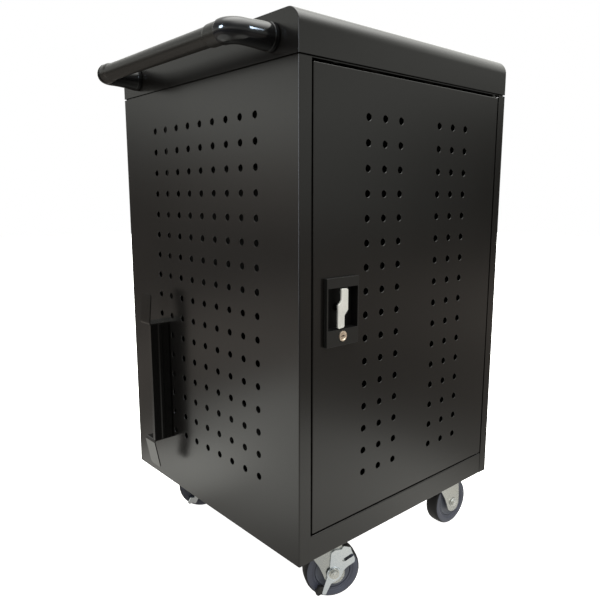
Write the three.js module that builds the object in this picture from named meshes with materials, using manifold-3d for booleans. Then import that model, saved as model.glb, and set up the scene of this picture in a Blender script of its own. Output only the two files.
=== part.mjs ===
// Charging cart for laptops: a folded sheet-steel cabinet on four swivel
// casters, with a vented front door, a vented rear door, a push handle, a cord
// bracket, divider racks and a power bay. Millimetres, +Z up, the front faces -Y.
import * as THREE from 'three';
import { mergeVertices } from 'three/addons/utils/BufferGeometryUtils.js';
import Module from 'manifold-3d';

const wasm = await Module();
wasm.setup();

// ---------------------------------------------------------------- dimensions
const W = 610;               // cabinet width
const D = 616;               // cabinet depth
const T = 1.5;               // sheet thickness
const SIDE_H = 883;          // side panel height
const FLOOR = -134.5;         // floor, below the cabinet's lower edge
const LID_Z0 = 886.3;        // lid's lower edge
const LID_Z1 = 960;          // lid's top
const LID_R = 30;            // lid's rounded front and rear edges
const DECK_Z0 = 883.3, DECK_Z1 = 886;
const STILE_L = 28.2;        // left stile, latch side
const STILE_R = 25.7;        // right stile, hinge side
const RETURN = 22;           // depth of the left stile's return
const DOOR_X0 = 31.4, DOOR_X1 = 581.3;
const DOOR_Z0 = 53.5, DOOR_Z1 = 877.5;
const DOOR_DEPTH = 18;
const RAIL_H = 50;           // bottom rail
const PIVOT_X = 573.5, PIVOT_INSET = 8;
const PIN_R = 4;
const LATCH_X = 97, LATCH_Z = 467.5, KEY_Z = 417;
const BEZEL_Y = -8;          // face of the latch's bezel, in front of the door
const CUP = 74;              // latch recess, square
const ROD_TRAVEL = 14;
const SHELF_Z = 470;
const PART_Y = 430;          // partition between device bay and power bay
const SLOTS = 10, SLOT_PITCH = 54.6, RACK_X0 = 32;
const RACK_Y0 = 40, RACK_Y1 = 420, RACK_H = 245;
const STRIP_Z0 = 150, STRIP_Z1 = 800;
const HANDLE_Z = 920, HANDLE_X = -80, HANDLE_R = 20.5, HANDLE_BEND = 21.5;
const HANDLE_Y0 = 69, HANDLE_Y1 = 547, GRIP_Y0 = 91.5, GRIP_R = 16.5;
const WRAP_Y0 = 443, WRAP_Y1 = 486, WRAP_REACH = 47;
const WRAP_Z0 = 115, WRAP_Z1 = 387;
const WHEEL_R = 57.15, WHEEL_W = 33, TRAIL = 30;
const CASTER_X = [102, 510], CASTER_Y = [64.5, 551.5];
const CASTER_TURN = [-28, -3];   // degrees, the casters on the left and on the right

// row frame: middle of the footprint's box, on the floor
const ORIGIN = [-254.9, -305.9, 134.5];

// ------------------------------------------------------------------- helpers
const rad = THREE.MathUtils.degToRad;

function closed(geometry) {
  let g = geometry.clone();
  for (const name of Object.keys(g.attributes)) if (name !== 'position') g.deleteAttribute(name);
  g = mergeVertices(g, 1e-3);
  const pos = g.attributes.position.array;
  const idx = g.index.array;
  const tri = [];
  let volume = 0;
  const p = (i) => new THREE.Vector3(pos[3 * i], pos[3 * i + 1], pos[3 * i + 2]);
  for (let i = 0; i < idx.length; i += 3) {
    const [a, b, c] = [idx[i], idx[i + 1], idx[i + 2]];
    if (a === b || b === c || c === a) continue;
    tri.push(a, b, c);
    volume += p(a).dot(p(b).cross(p(c))) / 6;
  }
  if (volume < 0) for (let i = 0; i < tri.length; i += 3) [tri[i + 1], tri[i + 2]] = [tri[i + 2], tri[i + 1]];
  g.setIndex(tri);
  return g;
}

function solid(geometry) {
  const g = closed(geometry);
  return new wasm.Manifold(new wasm.Mesh({
    numProp: 3,
    vertProperties: new Float32Array(g.attributes.position.array),
    triVerts: new Uint32Array(g.index.array),
  }));
}

function surface(manifold) {
  const m = manifold.getMesh();
  const g = new THREE.BufferGeometry();
  const pos = new Float32Array(m.numVert * 3);
  for (let i = 0; i < m.numVert; i++) for (let k = 0; k < 3; k++) pos[3 * i + k] = m.vertProperties[i * m.numProp + k];
  g.setAttribute('position', new THREE.BufferAttribute(pos, 3));
  g.setIndex(Array.from(m.triVerts));
  return closed(g);
}

const join = (...gs) => surface(gs.map(solid).reduce((a, b) => a.add(b)));
const cut = (g, ...tools) => surface(tools.map(solid).reduce((a, b) => a.subtract(b), solid(g)));

function box(x0, x1, y0, y1, z0, z1) {
  return new THREE.BoxGeometry(x1 - x0, y1 - y0, z1 - z0)
    .translate((x0 + x1) / 2, (y0 + y1) / 2, (z0 + z1) / 2);
}

// outlines run anticlockwise and holes clockwise
function shapeOf(points, holes = []) {
  const run = (l, clockwise) => {
    const v = l.map(([a, b]) => new THREE.Vector2(a, b));
    return THREE.ShapeUtils.isClockWise(v) === clockwise ? v : v.reverse();
  };
  const s = new THREE.Shape(run(points, false));
  for (const h of holes) s.holes.push(new THREE.Path(run(h, true)));
  return s;
}

const ngon = (cx, cy, r, n, turn = 0.5) => Array.from({ length: n }, (_, i) => {
  const t = 2 * Math.PI * (i + turn) / n;
  return [cx + r * Math.cos(t), cy + r * Math.sin(t)];
});

// outline in XY raised along Z
function prismZ(points, z0, z1, holes) {
  return new THREE.ExtrudeGeometry(shapeOf(points, holes), { depth: z1 - z0, bevelEnabled: false, steps: 1 }).translate(0, 0, z0);
}

// outline in YZ carried along X
function prismX(points, x0, x1, holes) {
  const g = new THREE.ExtrudeGeometry(shapeOf(points, holes), { depth: x1 - x0, bevelEnabled: false, steps: 1 });
  return g.applyMatrix4(new THREE.Matrix4().set(0, 0, 1, x0, 1, 0, 0, 0, 0, 1, 0, 0, 0, 0, 0, 1));
}

// outline in XZ carried along Y
function prismY(points, y0, y1, holes = []) {
  const swap = (l) => l.map(([x, z]) => [z, x]);
  const g = new THREE.ExtrudeGeometry(shapeOf(swap(points), holes.map(swap)), { depth: y1 - y0, bevelEnabled: false, steps: 1 });
  return g.applyMatrix4(new THREE.Matrix4().set(0, 1, 0, 0, 0, 0, 1, y0, 1, 0, 0, 0, 0, 0, 0, 1));
}

// profile [radius, height] turned about Z
function turned(profile, segments, ring = false) {
  const pts = profile.map(([r, h]) => new THREE.Vector2(r, h));
  if (ring) pts.push(pts[0].clone());
  return new THREE.LatheGeometry(pts, segments).rotateX(Math.PI / 2);
}

// the same, turned about Y: [radius, y]
function turnedY(profile, segments, ring = false, phase = 0) {
  const pts = profile.map(([r, h]) => new THREE.Vector2(r, h));
  if (ring) pts.push(pts[0].clone());
  return new THREE.LatheGeometry(pts, segments, phase);
}

const GLOSS_BLACK = { color: 0x1b1c1e, roughness: 0.25, metalness: 0.0 };
const MATTE_BLACK = { color: 0x2b2b2b, roughness: 0.7, metalness: 0.0 };
const POWDER_BLACK = { color: 0x2f2e2d, roughness: 0.5, metalness: 0.3 };
const ZINC = { color: 0xc9ccc8, roughness: 0.32, metalness: 1.0 };
const SATIN = { color: 0xd6d8d8, roughness: 0.35, metalness: 0.9 };
const BRASS = { color: 0xc9b78a, roughness: 0.35, metalness: 0.9 };
const TYRE = { color: 0x34363c, roughness: 0.55, metalness: 0.0 };
const HUB = { color: 0x6b6e76, roughness: 0.5, metalness: 0.0 };

function mesh(name, geometry, look) {
  const m = new THREE.Mesh(closed(geometry), new THREE.MeshStandardMaterial(look));
  m.name = name;
  return m;
}

// ------------------------------------------------------------------- cabinet
const cart = new THREE.Group();
cart.position.set(...ORIGIN);
const add = (...items) => cart.add(...items);

add(mesh('left_side_panel', prismZ([
  [0, 0], [STILE_L, 0], [STILE_L, RETURN], [STILE_L - T, RETURN], [STILE_L - T, T], [T, T],
  [T, D - T], [STILE_L - T, D - T], [STILE_L - T, D - RETURN], [STILE_L, D - RETURN], [STILE_L, D], [0, D],
], 0, SIDE_H), POWDER_BLACK));

add(mesh('right_side_panel', prismZ([
  [W - STILE_R, 0], [W, 0], [W, D], [W - STILE_R, D], [W - STILE_R, D - T], [W - T, D - T], [W - T, T], [W - STILE_R, T],
], 0, SIDE_H), POWDER_BLACK));

const RAIL_X0 = STILE_L + 0.3, RAIL_X1 = W - STILE_R - 0.3;
const SILL = 30;
const rodSlot = (z0, z1) => box(LATCH_X - 12, LATCH_X + 12, 12.5, 24, z0, z1);
const pinHole = (y, z0, z1) => prismZ(ngon(PIVOT_X, y, PIN_R + 0.7, 12), z0, z1);
const GROMMET_X = 120, GROMMET_Z = 25;

add(mesh('base_pan', cut(
  join(
    cut(box(1.8, W - 1.8, 1.8, D - 1.8, 0, 2),
      box(0, STILE_L + 0.3, 0, RETURN + 0.3, -5, 5), box(0, STILE_L + 0.3, D - RETURN - 0.3, D, -5, 5)),
    box(RAIL_X0, RAIL_X1, 0, 40, 0, 2), box(RAIL_X0, RAIL_X1, D - 40, D, 0, 2),
    box(RAIL_X0, RAIL_X1, 0, T, 0, RAIL_H), box(RAIL_X0, RAIL_X1, D - T, D, 0, RAIL_H),
    box(RAIL_X0, RAIL_X1, 0, SILL, RAIL_H - T, RAIL_H), box(RAIL_X0, RAIL_X1, D - SILL, D, RAIL_H - T, RAIL_H),
  ),
  rodSlot(RAIL_H - 5, RAIL_H + 5), pinHole(PIVOT_INSET, RAIL_H - 5, RAIL_H + 5), pinHole(D - PIVOT_INSET, RAIL_H - 5, RAIL_H + 5),
  prismY(ngon(GROMMET_X, GROMMET_Z, 12.4, 12), D - 5, D + 5),
), POWDER_BLACK));

add(mesh('top_deck', cut(box(3, W - 3, 4, D - 4, DECK_Z0, DECK_Z1),
  rodSlot(DECK_Z0 - 2, DECK_Z1 + 2), pinHole(PIVOT_INSET, DECK_Z0 - 2, DECK_Z1 + 2), pinHole(D - PIVOT_INSET, DECK_Z0 - 2, DECK_Z1 + 2),
), POWDER_BLACK));

function lidOutline(inset, zLow) {
  const r = LID_R - inset, pts = [[inset, zLow]];
  const n = 6;
  for (let i = 0; i <= n; i++) {
    const a = Math.PI - (Math.PI / 2) * i / n;
    pts.push([LID_R + r * Math.cos(a), LID_Z1 - LID_R + r * Math.sin(a)]);
  }
  for (let i = 0; i <= n; i++) {
    const a = Math.PI / 2 - (Math.PI / 2) * i / n;
    pts.push([D - LID_R + r * Math.cos(a), LID_Z1 - LID_R + r * Math.sin(a)]);
  }
  pts.push([D - inset, zLow]);
  return pts;
}
add(mesh('top_lid', cut(prismX(lidOutline(0, LID_Z0), 0, W), prismX(lidOutline(T, LID_Z0 - 5), T, W - T)), POWDER_BLACK));

// ------------------------------------------------------------- inside the bay
add(mesh('mid_shelf', join(box(1.8, W - 1.8, 32, PART_Y - 0.3, SHELF_Z - 2, SHELF_Z), box(1.8, W - 1.8, 32, 33.5, SHELF_Z - 22, SHELF_Z)), POWDER_BLACK));

add(mesh('partition_panel', cut(box(1.8, W - 1.8, PART_Y, PART_Y + T, 2.3, SIDE_H),
  box(130, 480, PART_Y - 5, PART_Y + 5, 400, 440), box(130, 480, PART_Y - 5, PART_Y + 5, 820, 850)), POWDER_BLACK));

function rack(zBase) {
  const top = zBase + RACK_H, floor = zBase + 3, pts = [[RACK_X0, zBase]];
  const last = RACK_X0 + SLOTS * SLOT_PITCH + 2;
  pts.push([last, zBase]);
  for (let i = SLOTS; i >= 0; i--) {
    const x = RACK_X0 + i * SLOT_PITCH;
    if (i < SLOTS) pts.push([x + 2, floor]);
    pts.push([x + 2, top], [x, top]);
    if (i > 0) pts.push([x, floor]);
  }
  return prismY(pts, RACK_Y0, RACK_Y1);
}
add(mesh('lower_divider_rack', rack(2.3), MATTE_BLACK), mesh('upper_divider_rack', rack(SHELF_Z + 0.3), MATTE_BLACK));

const STRIP_Y0 = PART_Y + T + 0.3, STRIP_D = 38;
function powerStrip(side, x0) {
  const x1 = x0 + 46, y1 = STRIP_Y0 + STRIP_D, zs = STRIP_Z1 - 40, xc = (x0 + x1) / 2;
  add(mesh(`power_strip_${side}`, cut(box(x0, x1, STRIP_Y0, y1, STRIP_Z0, STRIP_Z1),
    box(xc - 12, xc + 12, y1 - 12, y1 + 5, zs - 17, zs + 17)), MATTE_BLACK));
  // rocker, resting with its lower half out
  const rocker = new THREE.Group();
  rocker.position.set(xc, y1 - 2, zs);
  rocker.rotation.x = rad(8);
  rocker.add(mesh(`power_switch_${side}`, prismX([[-5, -15], [3, -15], [1.5, 0], [3, 15], [-5, 15], [-7, 0]], -11, 11), GLOSS_BLACK));
  add(rocker);
}
powerStrip('left', 60);
powerStrip('right', 504);

function tray(z) {
  const y0 = STRIP_Y0, y1 = 580;
  return prismX([[y0, z], [y1, z], [y1, z + 40], [y1 - T, z + 40], [y1 - T, z + T], [y0 + T, z + T], [y0 + T, z + 60], [y0, z + 60]], 130, 480);
}
add(mesh('adapter_tray_lower', tray(100), POWDER_BLACK), mesh('adapter_tray_upper', tray(500), POWDER_BLACK));

// inlet for the mains lead, in the rear rail
add(mesh('cable_grommet', turnedY([[7, D - 10], [11.5, D - 10], [11.5, D + 0.3], [16, D + 0.3], [16, D + 4], [7, D + 4]], 12, true).translate(GROMMET_X, 0, GROMMET_Z), MATTE_BLACK));

// --------------------------------------------------------------- cord bracket
add(mesh('cord_wrap', join(
  box(-2.3, -0.3, WRAP_Y0, WRAP_Y1, WRAP_Z0, WRAP_Z1),
  box(-WRAP_REACH, -0.3, WRAP_Y0, WRAP_Y0 + 2.2, WRAP_Z0, WRAP_Z1),
  box(-WRAP_REACH, -0.3, WRAP_Y0, WRAP_Y1, WRAP_Z1 - 2.5, WRAP_Z1),
  box(-WRAP_REACH, -0.3, WRAP_Y0, WRAP_Y1, WRAP_Z0, WRAP_Z0 + 2.5),
  prismY([[-WRAP_REACH, WRAP_Z1 - 2.5], [-WRAP_REACH + 2.5, WRAP_Z1 - 2.5], [-WRAP_REACH + 8.5, WRAP_Z1 + 66], [-WRAP_REACH + 6, WRAP_Z1 + 66]], WRAP_Y0, WRAP_Y1),
  prismY([[-WRAP_REACH, WRAP_Z0 + 2.5], [-WRAP_REACH + 13, WRAP_Z0 - 66], [-WRAP_REACH + 15.5, WRAP_Z0 - 66], [-WRAP_REACH + 2.5, WRAP_Z0 + 2.5]], WRAP_Y0, WRAP_Y1),
), POWDER_BLACK));

// ---------------------------------------------------------------- push handle
class ElbowCurve extends THREE.Curve {
  // out of the lid's end face along -X, round the bend, then along the grip
  constructor(yFoot, way, yEnd) {
    super();
    this.yFoot = yFoot; this.way = way;
    this.leg = -HANDLE_X - HANDLE_BEND - 0.3;
    this.arc = HANDLE_BEND * Math.PI / 2;
    this.run = Math.abs(yEnd - yFoot) - HANDLE_BEND;
    this.total = this.leg + this.arc + this.run;
  }
  getPoint(t, target = new THREE.Vector3()) {
    let s = t * this.total;
    let x, dy;
    if (s <= this.leg) { x = -0.3 - s; dy = 0; }
    else if (s <= this.leg + this.arc) {
      const a = (s - this.leg) / HANDLE_BEND;
      x = -0.3 - this.leg - HANDLE_BEND * Math.sin(a);
      dy = HANDLE_BEND * (1 - Math.cos(a));
    } else { x = HANDLE_X; dy = HANDLE_BEND + s - this.leg - this.arc; }
    return target.set(x, this.yFoot + this.way * dy, HANDLE_Z);
  }
}
function elbow(yFoot, way, yEnd) {
  const ring = shapeOf(ngon(0, 0, HANDLE_R, 12));
  const sweep = new THREE.ExtrudeGeometry(ring, { steps: 12, bevelEnabled: false, extrudePath: new ElbowCurve(yFoot, way, yEnd) });
  return join(sweep, prismX(ngon(yFoot, HANDLE_Z, 24.6, 12), -9, -0.3));
}
const GRIP_Y1 = HANDLE_Y0 + HANDLE_Y1 - GRIP_Y0;
add(mesh('handle_elbow_front', elbow(HANDLE_Y0, 1, GRIP_Y0), GLOSS_BLACK));
add(mesh('handle_elbow_rear', elbow(HANDLE_Y1, -1, GRIP_Y1), GLOSS_BLACK));
add(mesh('handle_tube', prismY(ngon(HANDLE_X, HANDLE_Z, 12.5, 12), GRIP_Y0 + 0.4, GRIP_Y1 - 0.4), ZINC));
add(mesh('handle_grip', prismY(ngon(HANDLE_X, HANDLE_Z, GRIP_R, 16), GRIP_Y0 + 0.4, GRIP_Y1 - 0.4, [ngon(HANDLE_X, HANDLE_Z, 13.6, 12)]), MATTE_BLACK));

// ----------------------------------------------------------------- front door
const CUP_X0 = LATCH_X - CUP / 2, CUP_X1 = LATCH_X + CUP / 2, CUP_Z0 = LATCH_Z - CUP / 2 - 0.5, CUP_Z1 = LATCH_Z + CUP / 2 + 0.5;
const pan = (y0, y1, open) => cut(box(DOOR_X0, DOOR_X1, y0, y1, DOOR_Z0, DOOR_Z1),
  box(DOOR_X0 + T, DOOR_X1 - T, open > 0 ? y0 + T : y0 - 5, open > 0 ? y1 + 5 : y1 - T, DOOR_Z0 + T, DOOR_Z1 - T));

add(mesh('front_door', cut(pan(0, DOOR_DEPTH, 1),
  box(CUP_X0 - 1.7, CUP_X1 + 1.7, -5, 5, CUP_Z0 - 1.7, CUP_Z1 + 1.7),
  prismY(ngon(LATCH_X, KEY_Z, 11, 12), -5, 5),
  box(LATCH_X - 7, LATCH_X + 7, 14, 30, DOOR_Z0 - 5, DOOR_Z0 + 5),
  box(LATCH_X - 7, LATCH_X + 7, 14, 30, DOOR_Z1 - 5, DOOR_Z1 + 5),
), POWDER_BLACK));

const BEZEL = [[-40.2, 403], [-37.2, 400], [37.2, 400], [40.2, 403], [40.2, 520], [37.2, 523], [-37.2, 523], [-40.2, 520]].map(([x, z]) => [LATCH_X + x, z]);
add(mesh('latch_cup', cut(
  join(prismY(BEZEL, BEZEL_Y, -0.3), box(CUP_X0 - 1.2, CUP_X1 + 1.2, -1, 12, CUP_Z0 - 1.2, CUP_Z1 + 1.2)),
  box(CUP_X0, CUP_X1, -20, 10, CUP_Z0, CUP_Z1),
  prismY(ngon(LATCH_X, LATCH_Z, 7.2, 12), 5, 20),
  prismY(ngon(LATCH_X, KEY_Z, 10.3, 12), -20, 20),
), GLOSS_BLACK));

// pivot studs: collar on the door's flange, spigot into deck and sill
const stud = (z, way) => [[0, z], [7, z], [7, z + 1.8 * way], [PIN_R, z + 1.8 * way], [PIN_R, z + 8 * way], [0, z + 8 * way]];
function studs(prefix, y) {
  add(mesh(`${prefix}_pin_upper`, turned(stud(DOOR_Z1 + 0.3, 1), 12).translate(PIVOT_X, y, 0), ZINC));
  add(mesh(`${prefix}_pin_lower`, turned(stud(DOOR_Z0 - 0.3, -1), 12).translate(PIVOT_X, y, 0), ZINC));
}
studs('front_hinge', PIVOT_INSET);

// turn lever: two offset halves joined by chamfered steps
const LEVER = [
  [-5.5, 33.5], [-2.5, 36], [11, 34], [13.8, 31], [13.8, -4], [10, -8], [4.8, -12], [4.8, -33.5], [2, -36], [-11, -34], [-13.8, -31], [-13.8, 4], [-10, 8], [-5.5, 12],
].map(([x, z]) => [LATCH_X + x, LATCH_Z + z]);
add(mesh('latch_lever', join(prismY(LEVER, BEZEL_Y - 0.8, BEZEL_Y + 6.8), prismY(ngon(LATCH_X, LATCH_Z, 6, 12), -2, 15)), SATIN));
add(mesh('latch_cam', join(
  prismY(ngon(LATCH_X, LATCH_Z, 19, 12), 15.3, 18.3),
  prismY(ngon(LATCH_X - ROD_TRAVEL, LATCH_Z, 2.5, 8), 18, 20.9),
  prismY(ngon(LATCH_X + ROD_TRAVEL, LATCH_Z, 2.5, 8), 18, 23.4),
), ZINC));
add(mesh('key_cylinder', join(prismY(ngon(LATCH_X, KEY_Z, 9.5, 12), BEZEL_Y - 1.2, 14), box(LATCH_X - 4, LATCH_X + 4, 13.5, 16, KEY_Z - 26, KEY_Z + 5)), BRASS));

// lock rods: slotted yoke on the cam, flat bar out through the door's flange
function rod(name, way, y0, end) {
  const yoke = [[-22, -8], [8, -8], [8, 12], [5, 16], [5, 34], [-5, 34], [-5, 16], [-22, 12]];
  const slot = [[-17.6, -3.6], [3.6, -3.6], [3.6, 6.6], [-17.6, 6.6]];
  const put = (l) => l.map(([x, z]) => [LATCH_X + way * x, LATCH_Z + way * z]);
  const z0 = LATCH_Z + way * 30;
  const bar = way > 0 ? box(LATCH_X - 5, LATCH_X + 5, y0 - 2.3, y0 + 2, z0, end) : box(LATCH_X - 5, LATCH_X + 5, y0 - 2.3, y0 + 2, end, z0);
  add(mesh(name, join(prismY(put(yoke), y0, y0 + 2, [put(slot)]), bar), ZINC));
}
rod('lock_rod_upper', 1, 18.8, 880.5);
rod('lock_rod_lower', -1, 21.1, 52.2);

// ------------------------------------------------------------------ rear door
const REAR_LOCK_X = 60, REAR_LOCK_Z = 467.5;
add(mesh('rear_door', cut(pan(D - DOOR_DEPTH, D, -1), prismY(ngon(REAR_LOCK_X, REAR_LOCK_Z, 10.4, 12), D - 5, D + 5)), POWDER_BLACK));
studs('rear_hinge', D - PIVOT_INSET);
add(mesh('rear_lock', join(
  prismY(ngon(REAR_LOCK_X, REAR_LOCK_Z, 9.5, 12), D - 28, D + 0.5),
  prismY(ngon(REAR_LOCK_X, REAR_LOCK_Z, 13, 12), D + 0.3, D + 5),
  box(REAR_LOCK_X - 7, REAR_LOCK_X + 7, D - 28, D - 25, REAR_LOCK_Z - 40, REAR_LOCK_Z + 7),
), SATIN));

// -------------------------------------------------------------------- casters
const AXLE_Z = FLOOR + WHEEL_R + 0.3;      // in the caster's own frame, below its plate
const BRAKE = [
  [-9, 8], [-7.5, 26], [-6, 45], [1, 50], [16, 50], [19, 57], [34, 52.5], [36, 45], [43, 27.5], [43, 20],
  [28.5, 12], [20, 5], [16, -7], [8, -15], [-1, -19], [-6, -21], [-14.4, -38.5], [-23, -34.5], [-20, -25], [-15.5, -11],
];
const TIP = [[-20.7, -25.4], [-23.7, -35], [-24.5, -40], [-33, -43], [-38, -38.5], [-30.5, -24.5]];

function caster(id, x, y, turn, braked) {
  const c = new THREE.Group();
  c.position.set(x, y, -0.3);
  c.rotation.z = rad(turn);
  const plate = new THREE.Group();
  plate.position.set(x, y, -0.3);
  plate.add(mesh(`caster_plate_${id}`, join(box(-47.5, 47.5, -33, 33, -3, 0),
    turned([[0, -19], [9, -19], [9, -16.4], [6, -16.4], [6, -8], [26, -8], [26, -2], [0, -2]], 12)), ZINC));
  add(plate);
  const leg = [[-25, -9], [44, -9], [50, -30], [53, -62], [53, -86], [46, -98], [34, -101.5], [22, -99], [13, -92], [8, -78], [1, -62], [-9, -46], [-25, -24]];
  const eye = ngon(TRAIL, AXLE_Z, 5.5, 8);
  c.add(mesh(`caster_fork_${id}`, join(
    turned([[7, -16], [30, -16], [30, -8.5], [7, -8.5]], 16, true),
    prismY(leg, 18.5, 22, [eye]), prismY(leg, -22, -18.5, [eye]),
  ), ZINC));
  const out = braked ? -26 : -22.4;
  c.add(mesh(`caster_axle_${id}`, turnedY([[0, out - 6], [9, out - 6], [9, out], [5, out], [5, 22.4], [9, 22.4], [9, 28], [0, 28]], 8).translate(TRAIL, 0, AXLE_Z), ZINC));
  c.add(mesh(`caster_hub_${id}`, turnedY([[5.6, -17], [14, -17], [14, -12], [36, -12], [36, 12], [14, 12], [14, 17], [5.6, 17]], 16, true).translate(TRAIL, 0, AXLE_Z), HUB));
  // tread faceted so that a flat lies on the floor
  const flat = 1 / Math.cos(Math.PI / 24), h = WHEEL_W / 2;
  c.add(mesh(`caster_tyre_${id}`, turnedY([[36.6, -12], [46 * flat, -h], [WHEEL_R * flat, -10], [WHEEL_R * flat, 10], [46 * flat, h], [36.6, 12]], 24, true, Math.PI / 24).translate(TRAIL, 0, AXLE_Z), TYRE));
  if (braked) {
    const put = (l) => l.map(([a, b]) => [TRAIL + a, AXLE_Z + b]);
    c.add(mesh(`brake_lever_${id}`, prismY(put(BRAKE), -25.6, -22.6, [put(ngon(0, 0, 5.8, 8))]), ZINC));
    c.add(mesh(`brake_tip_${id}`, prismY(put(TIP), -28, -17.5), MATTE_BLACK));
  }
  add(c);
}
caster('fl', CASTER_X[0], CASTER_Y[0], CASTER_TURN[0], true);
caster('rl', CASTER_X[0], CASTER_Y[1], CASTER_TURN[0], true);
caster('fr', CASTER_X[1], CASTER_Y[0], CASTER_TURN[1], false);
caster('rr', CASTER_X[1], CASTER_Y[1], CASTER_TURN[1], false);

export default cart;
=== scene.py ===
import math
import bmesh
import bpy
from mathutils import Matrix, Vector
from mathutils.geometry import tessellate_polygon


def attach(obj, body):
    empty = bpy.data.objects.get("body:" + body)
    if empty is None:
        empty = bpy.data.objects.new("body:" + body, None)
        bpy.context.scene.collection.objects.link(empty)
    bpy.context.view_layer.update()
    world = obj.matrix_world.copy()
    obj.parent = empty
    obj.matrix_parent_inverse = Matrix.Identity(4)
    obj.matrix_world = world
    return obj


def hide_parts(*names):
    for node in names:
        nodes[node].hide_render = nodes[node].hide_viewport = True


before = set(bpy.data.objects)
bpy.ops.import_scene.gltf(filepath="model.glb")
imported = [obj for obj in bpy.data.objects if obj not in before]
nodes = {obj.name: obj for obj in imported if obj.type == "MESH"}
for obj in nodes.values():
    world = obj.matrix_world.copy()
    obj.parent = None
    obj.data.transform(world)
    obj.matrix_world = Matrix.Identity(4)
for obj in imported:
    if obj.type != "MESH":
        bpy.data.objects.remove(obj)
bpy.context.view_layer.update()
scene = bpy.context.scene

# Lengths below are millimetres in the cabinet's own frame: its front left lower
# corner is the origin, X right, Y back, Z up. Everything is turned into metres
# of the row frame when a mesh is made.
ORIGIN = Vector((-254.9, -305.9, 134.5))
W, D, T = 610.0, 616.0, 1.5
SIDE_H = 883.0
LID_Z0, LID_Z1, LID_R = 886.3, 960.0, 30.0
STILE_L, STILE_R, RETURN = 28.2, 25.7, 22.0
DOOR_X0, DOOR_X1, DOOR_Z0, DOOR_Z1, DOOR_DEPTH = 31.4, 581.3, 53.5, 877.5, 18.0
PIVOT_X, PIVOT_INSET = 573.5, 8.0
LATCH_X, LATCH_Z, KEY_Z, BEZEL_Y = 97.0, 467.5, 417.0, -8.0
VENT_R = 6.7
TRAIL, WHEEL_R, AXLE_Z = 30.0, 57.15, -77.05
CASTERS = {"fl": (102.0, 64.5, -28.0, True), "rl": (102.0, 551.5, -28.0, True),
           "fr": (510.0, 64.5, -3.0, False), "rr": (510.0, 551.5, -3.0, False)}


# ------------------------------------------------------------------- materials
def material(name, color, rough, metal=0.0, color_var=0.12, tint=None, fine=900.0, coarse=4.0,
             rough_var=0.05, bump=0.2, bump_size=0.00006, bump_scale=None, spec=0.5, coat=0.0, coat_rough=0.05, sheen=0.0):
    """Finish with fine and broad colour variation, uneven gloss and a surface grain."""
    m = bpy.data.materials.new(name)
    m.use_nodes = True
    nt = m.node_tree
    b = nt.nodes["Principled BSDF"]
    b.inputs["Metallic"].default_value = metal
    b.inputs["Specular IOR Level"].default_value = spec
    b.inputs["Coat Weight"].default_value = coat
    b.inputs["Coat Roughness"].default_value = coat_rough
    b.inputs["Sheen Weight"].default_value = sheen
    co = nt.nodes.new("ShaderNodeTexCoord")

    def noise(scale, detail=3.0, rough_=0.55):
        n = nt.nodes.new("ShaderNodeTexNoise")
        n.inputs["Scale"].default_value = scale
        n.inputs["Detail"].default_value = detail
        n.inputs["Roughness"].default_value = rough_
        nt.links.new(co.outputs["Object"], n.inputs["Vector"])
        return n

    n_fine, n_coarse = noise(fine, 2.0), noise(coarse, 4.0)
    mixn = nt.nodes.new("ShaderNodeMix")
    mixn.data_type = "FLOAT"
    mixn.inputs["Factor"].default_value = 0.5
    nt.links.new(n_fine.outputs["Fac"], mixn.inputs["A"])
    nt.links.new(n_coarse.outputs["Fac"], mixn.inputs["B"])
    ramp = nt.nodes.new("ShaderNodeValToRGB")
    dark = [c * (1.0 - color_var) for c in color]
    light = [c * (1.0 + color_var) for c in (tint or color)]
    ramp.color_ramp.elements[0].position, ramp.color_ramp.elements[1].position = 0.33, 0.67
    ramp.color_ramp.elements[0].color = (*dark, 1.0)
    ramp.color_ramp.elements[1].color = (*light, 1.0)
    nt.links.new(mixn.outputs["Result"], ramp.inputs["Fac"])
    nt.links.new(ramp.outputs["Color"], b.inputs["Base Color"])
    rr = nt.nodes.new("ShaderNodeMapRange")
    rr.inputs["From Min"].default_value, rr.inputs["From Max"].default_value = 0.3, 0.7
    rr.inputs["To Min"].default_value, rr.inputs["To Max"].default_value = max(0.02, rough - rough_var), rough + rough_var
    nt.links.new(mixn.outputs["Result"], rr.inputs["Value"])
    nt.links.new(rr.outputs["Result"], b.inputs["Roughness"])
    if bump:
        n_bump = noise(bump_scale or fine * 1.4, 2.0)
        bp = nt.nodes.new("ShaderNodeBump")
        bp.inputs["Strength"].default_value = bump
        bp.inputs["Distance"].default_value = bump_size
        nt.links.new(n_bump.outputs["Fac"], bp.inputs["Height"])
        nt.links.new(bp.outputs["Normal"], b.inputs["Normal"])
    return m


POWDER = material("powder_coat", (0.0042, 0.0038, 0.0034), 0.24, color_var=0.18, fine=700.0, coarse=3.0, rough_var=0.03, bump=0.30, bump_size=0.00006)
BRACKET = material("bracket_coat", (0.0060, 0.0057, 0.0053), 0.22, color_var=0.18, fine=700.0, coarse=6.0, rough_var=0.04, bump=0.30, bump_size=0.00006)
# darker, less shiny copy of the bracket coat: painted shade on the web inside the bracket's channel
WEB_SHADE = material("bracket_web_painted_shade", (0.0042, 0.0041, 0.0040), 0.24, color_var=0.18, fine=700.0, coarse=6.0, rough_var=0.04, bump=0.30, bump_size=0.00006, spec=0.16)
GLOSS = material("gloss_moulding", (0.0045, 0.0045, 0.0050), 0.12, spec=0.36, color_var=0.15, fine=300.0, coarse=12.0, rough_var=0.025, bump=0.06, bump_size=0.0001, bump_scale=160.0)
SATIN_BLACK = material("bezel_moulding", (0.0080, 0.0080, 0.0078), 0.33, color_var=0.15, fine=900.0, coarse=20.0, rough_var=0.05, bump=0.25, bump_size=0.00006)
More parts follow.
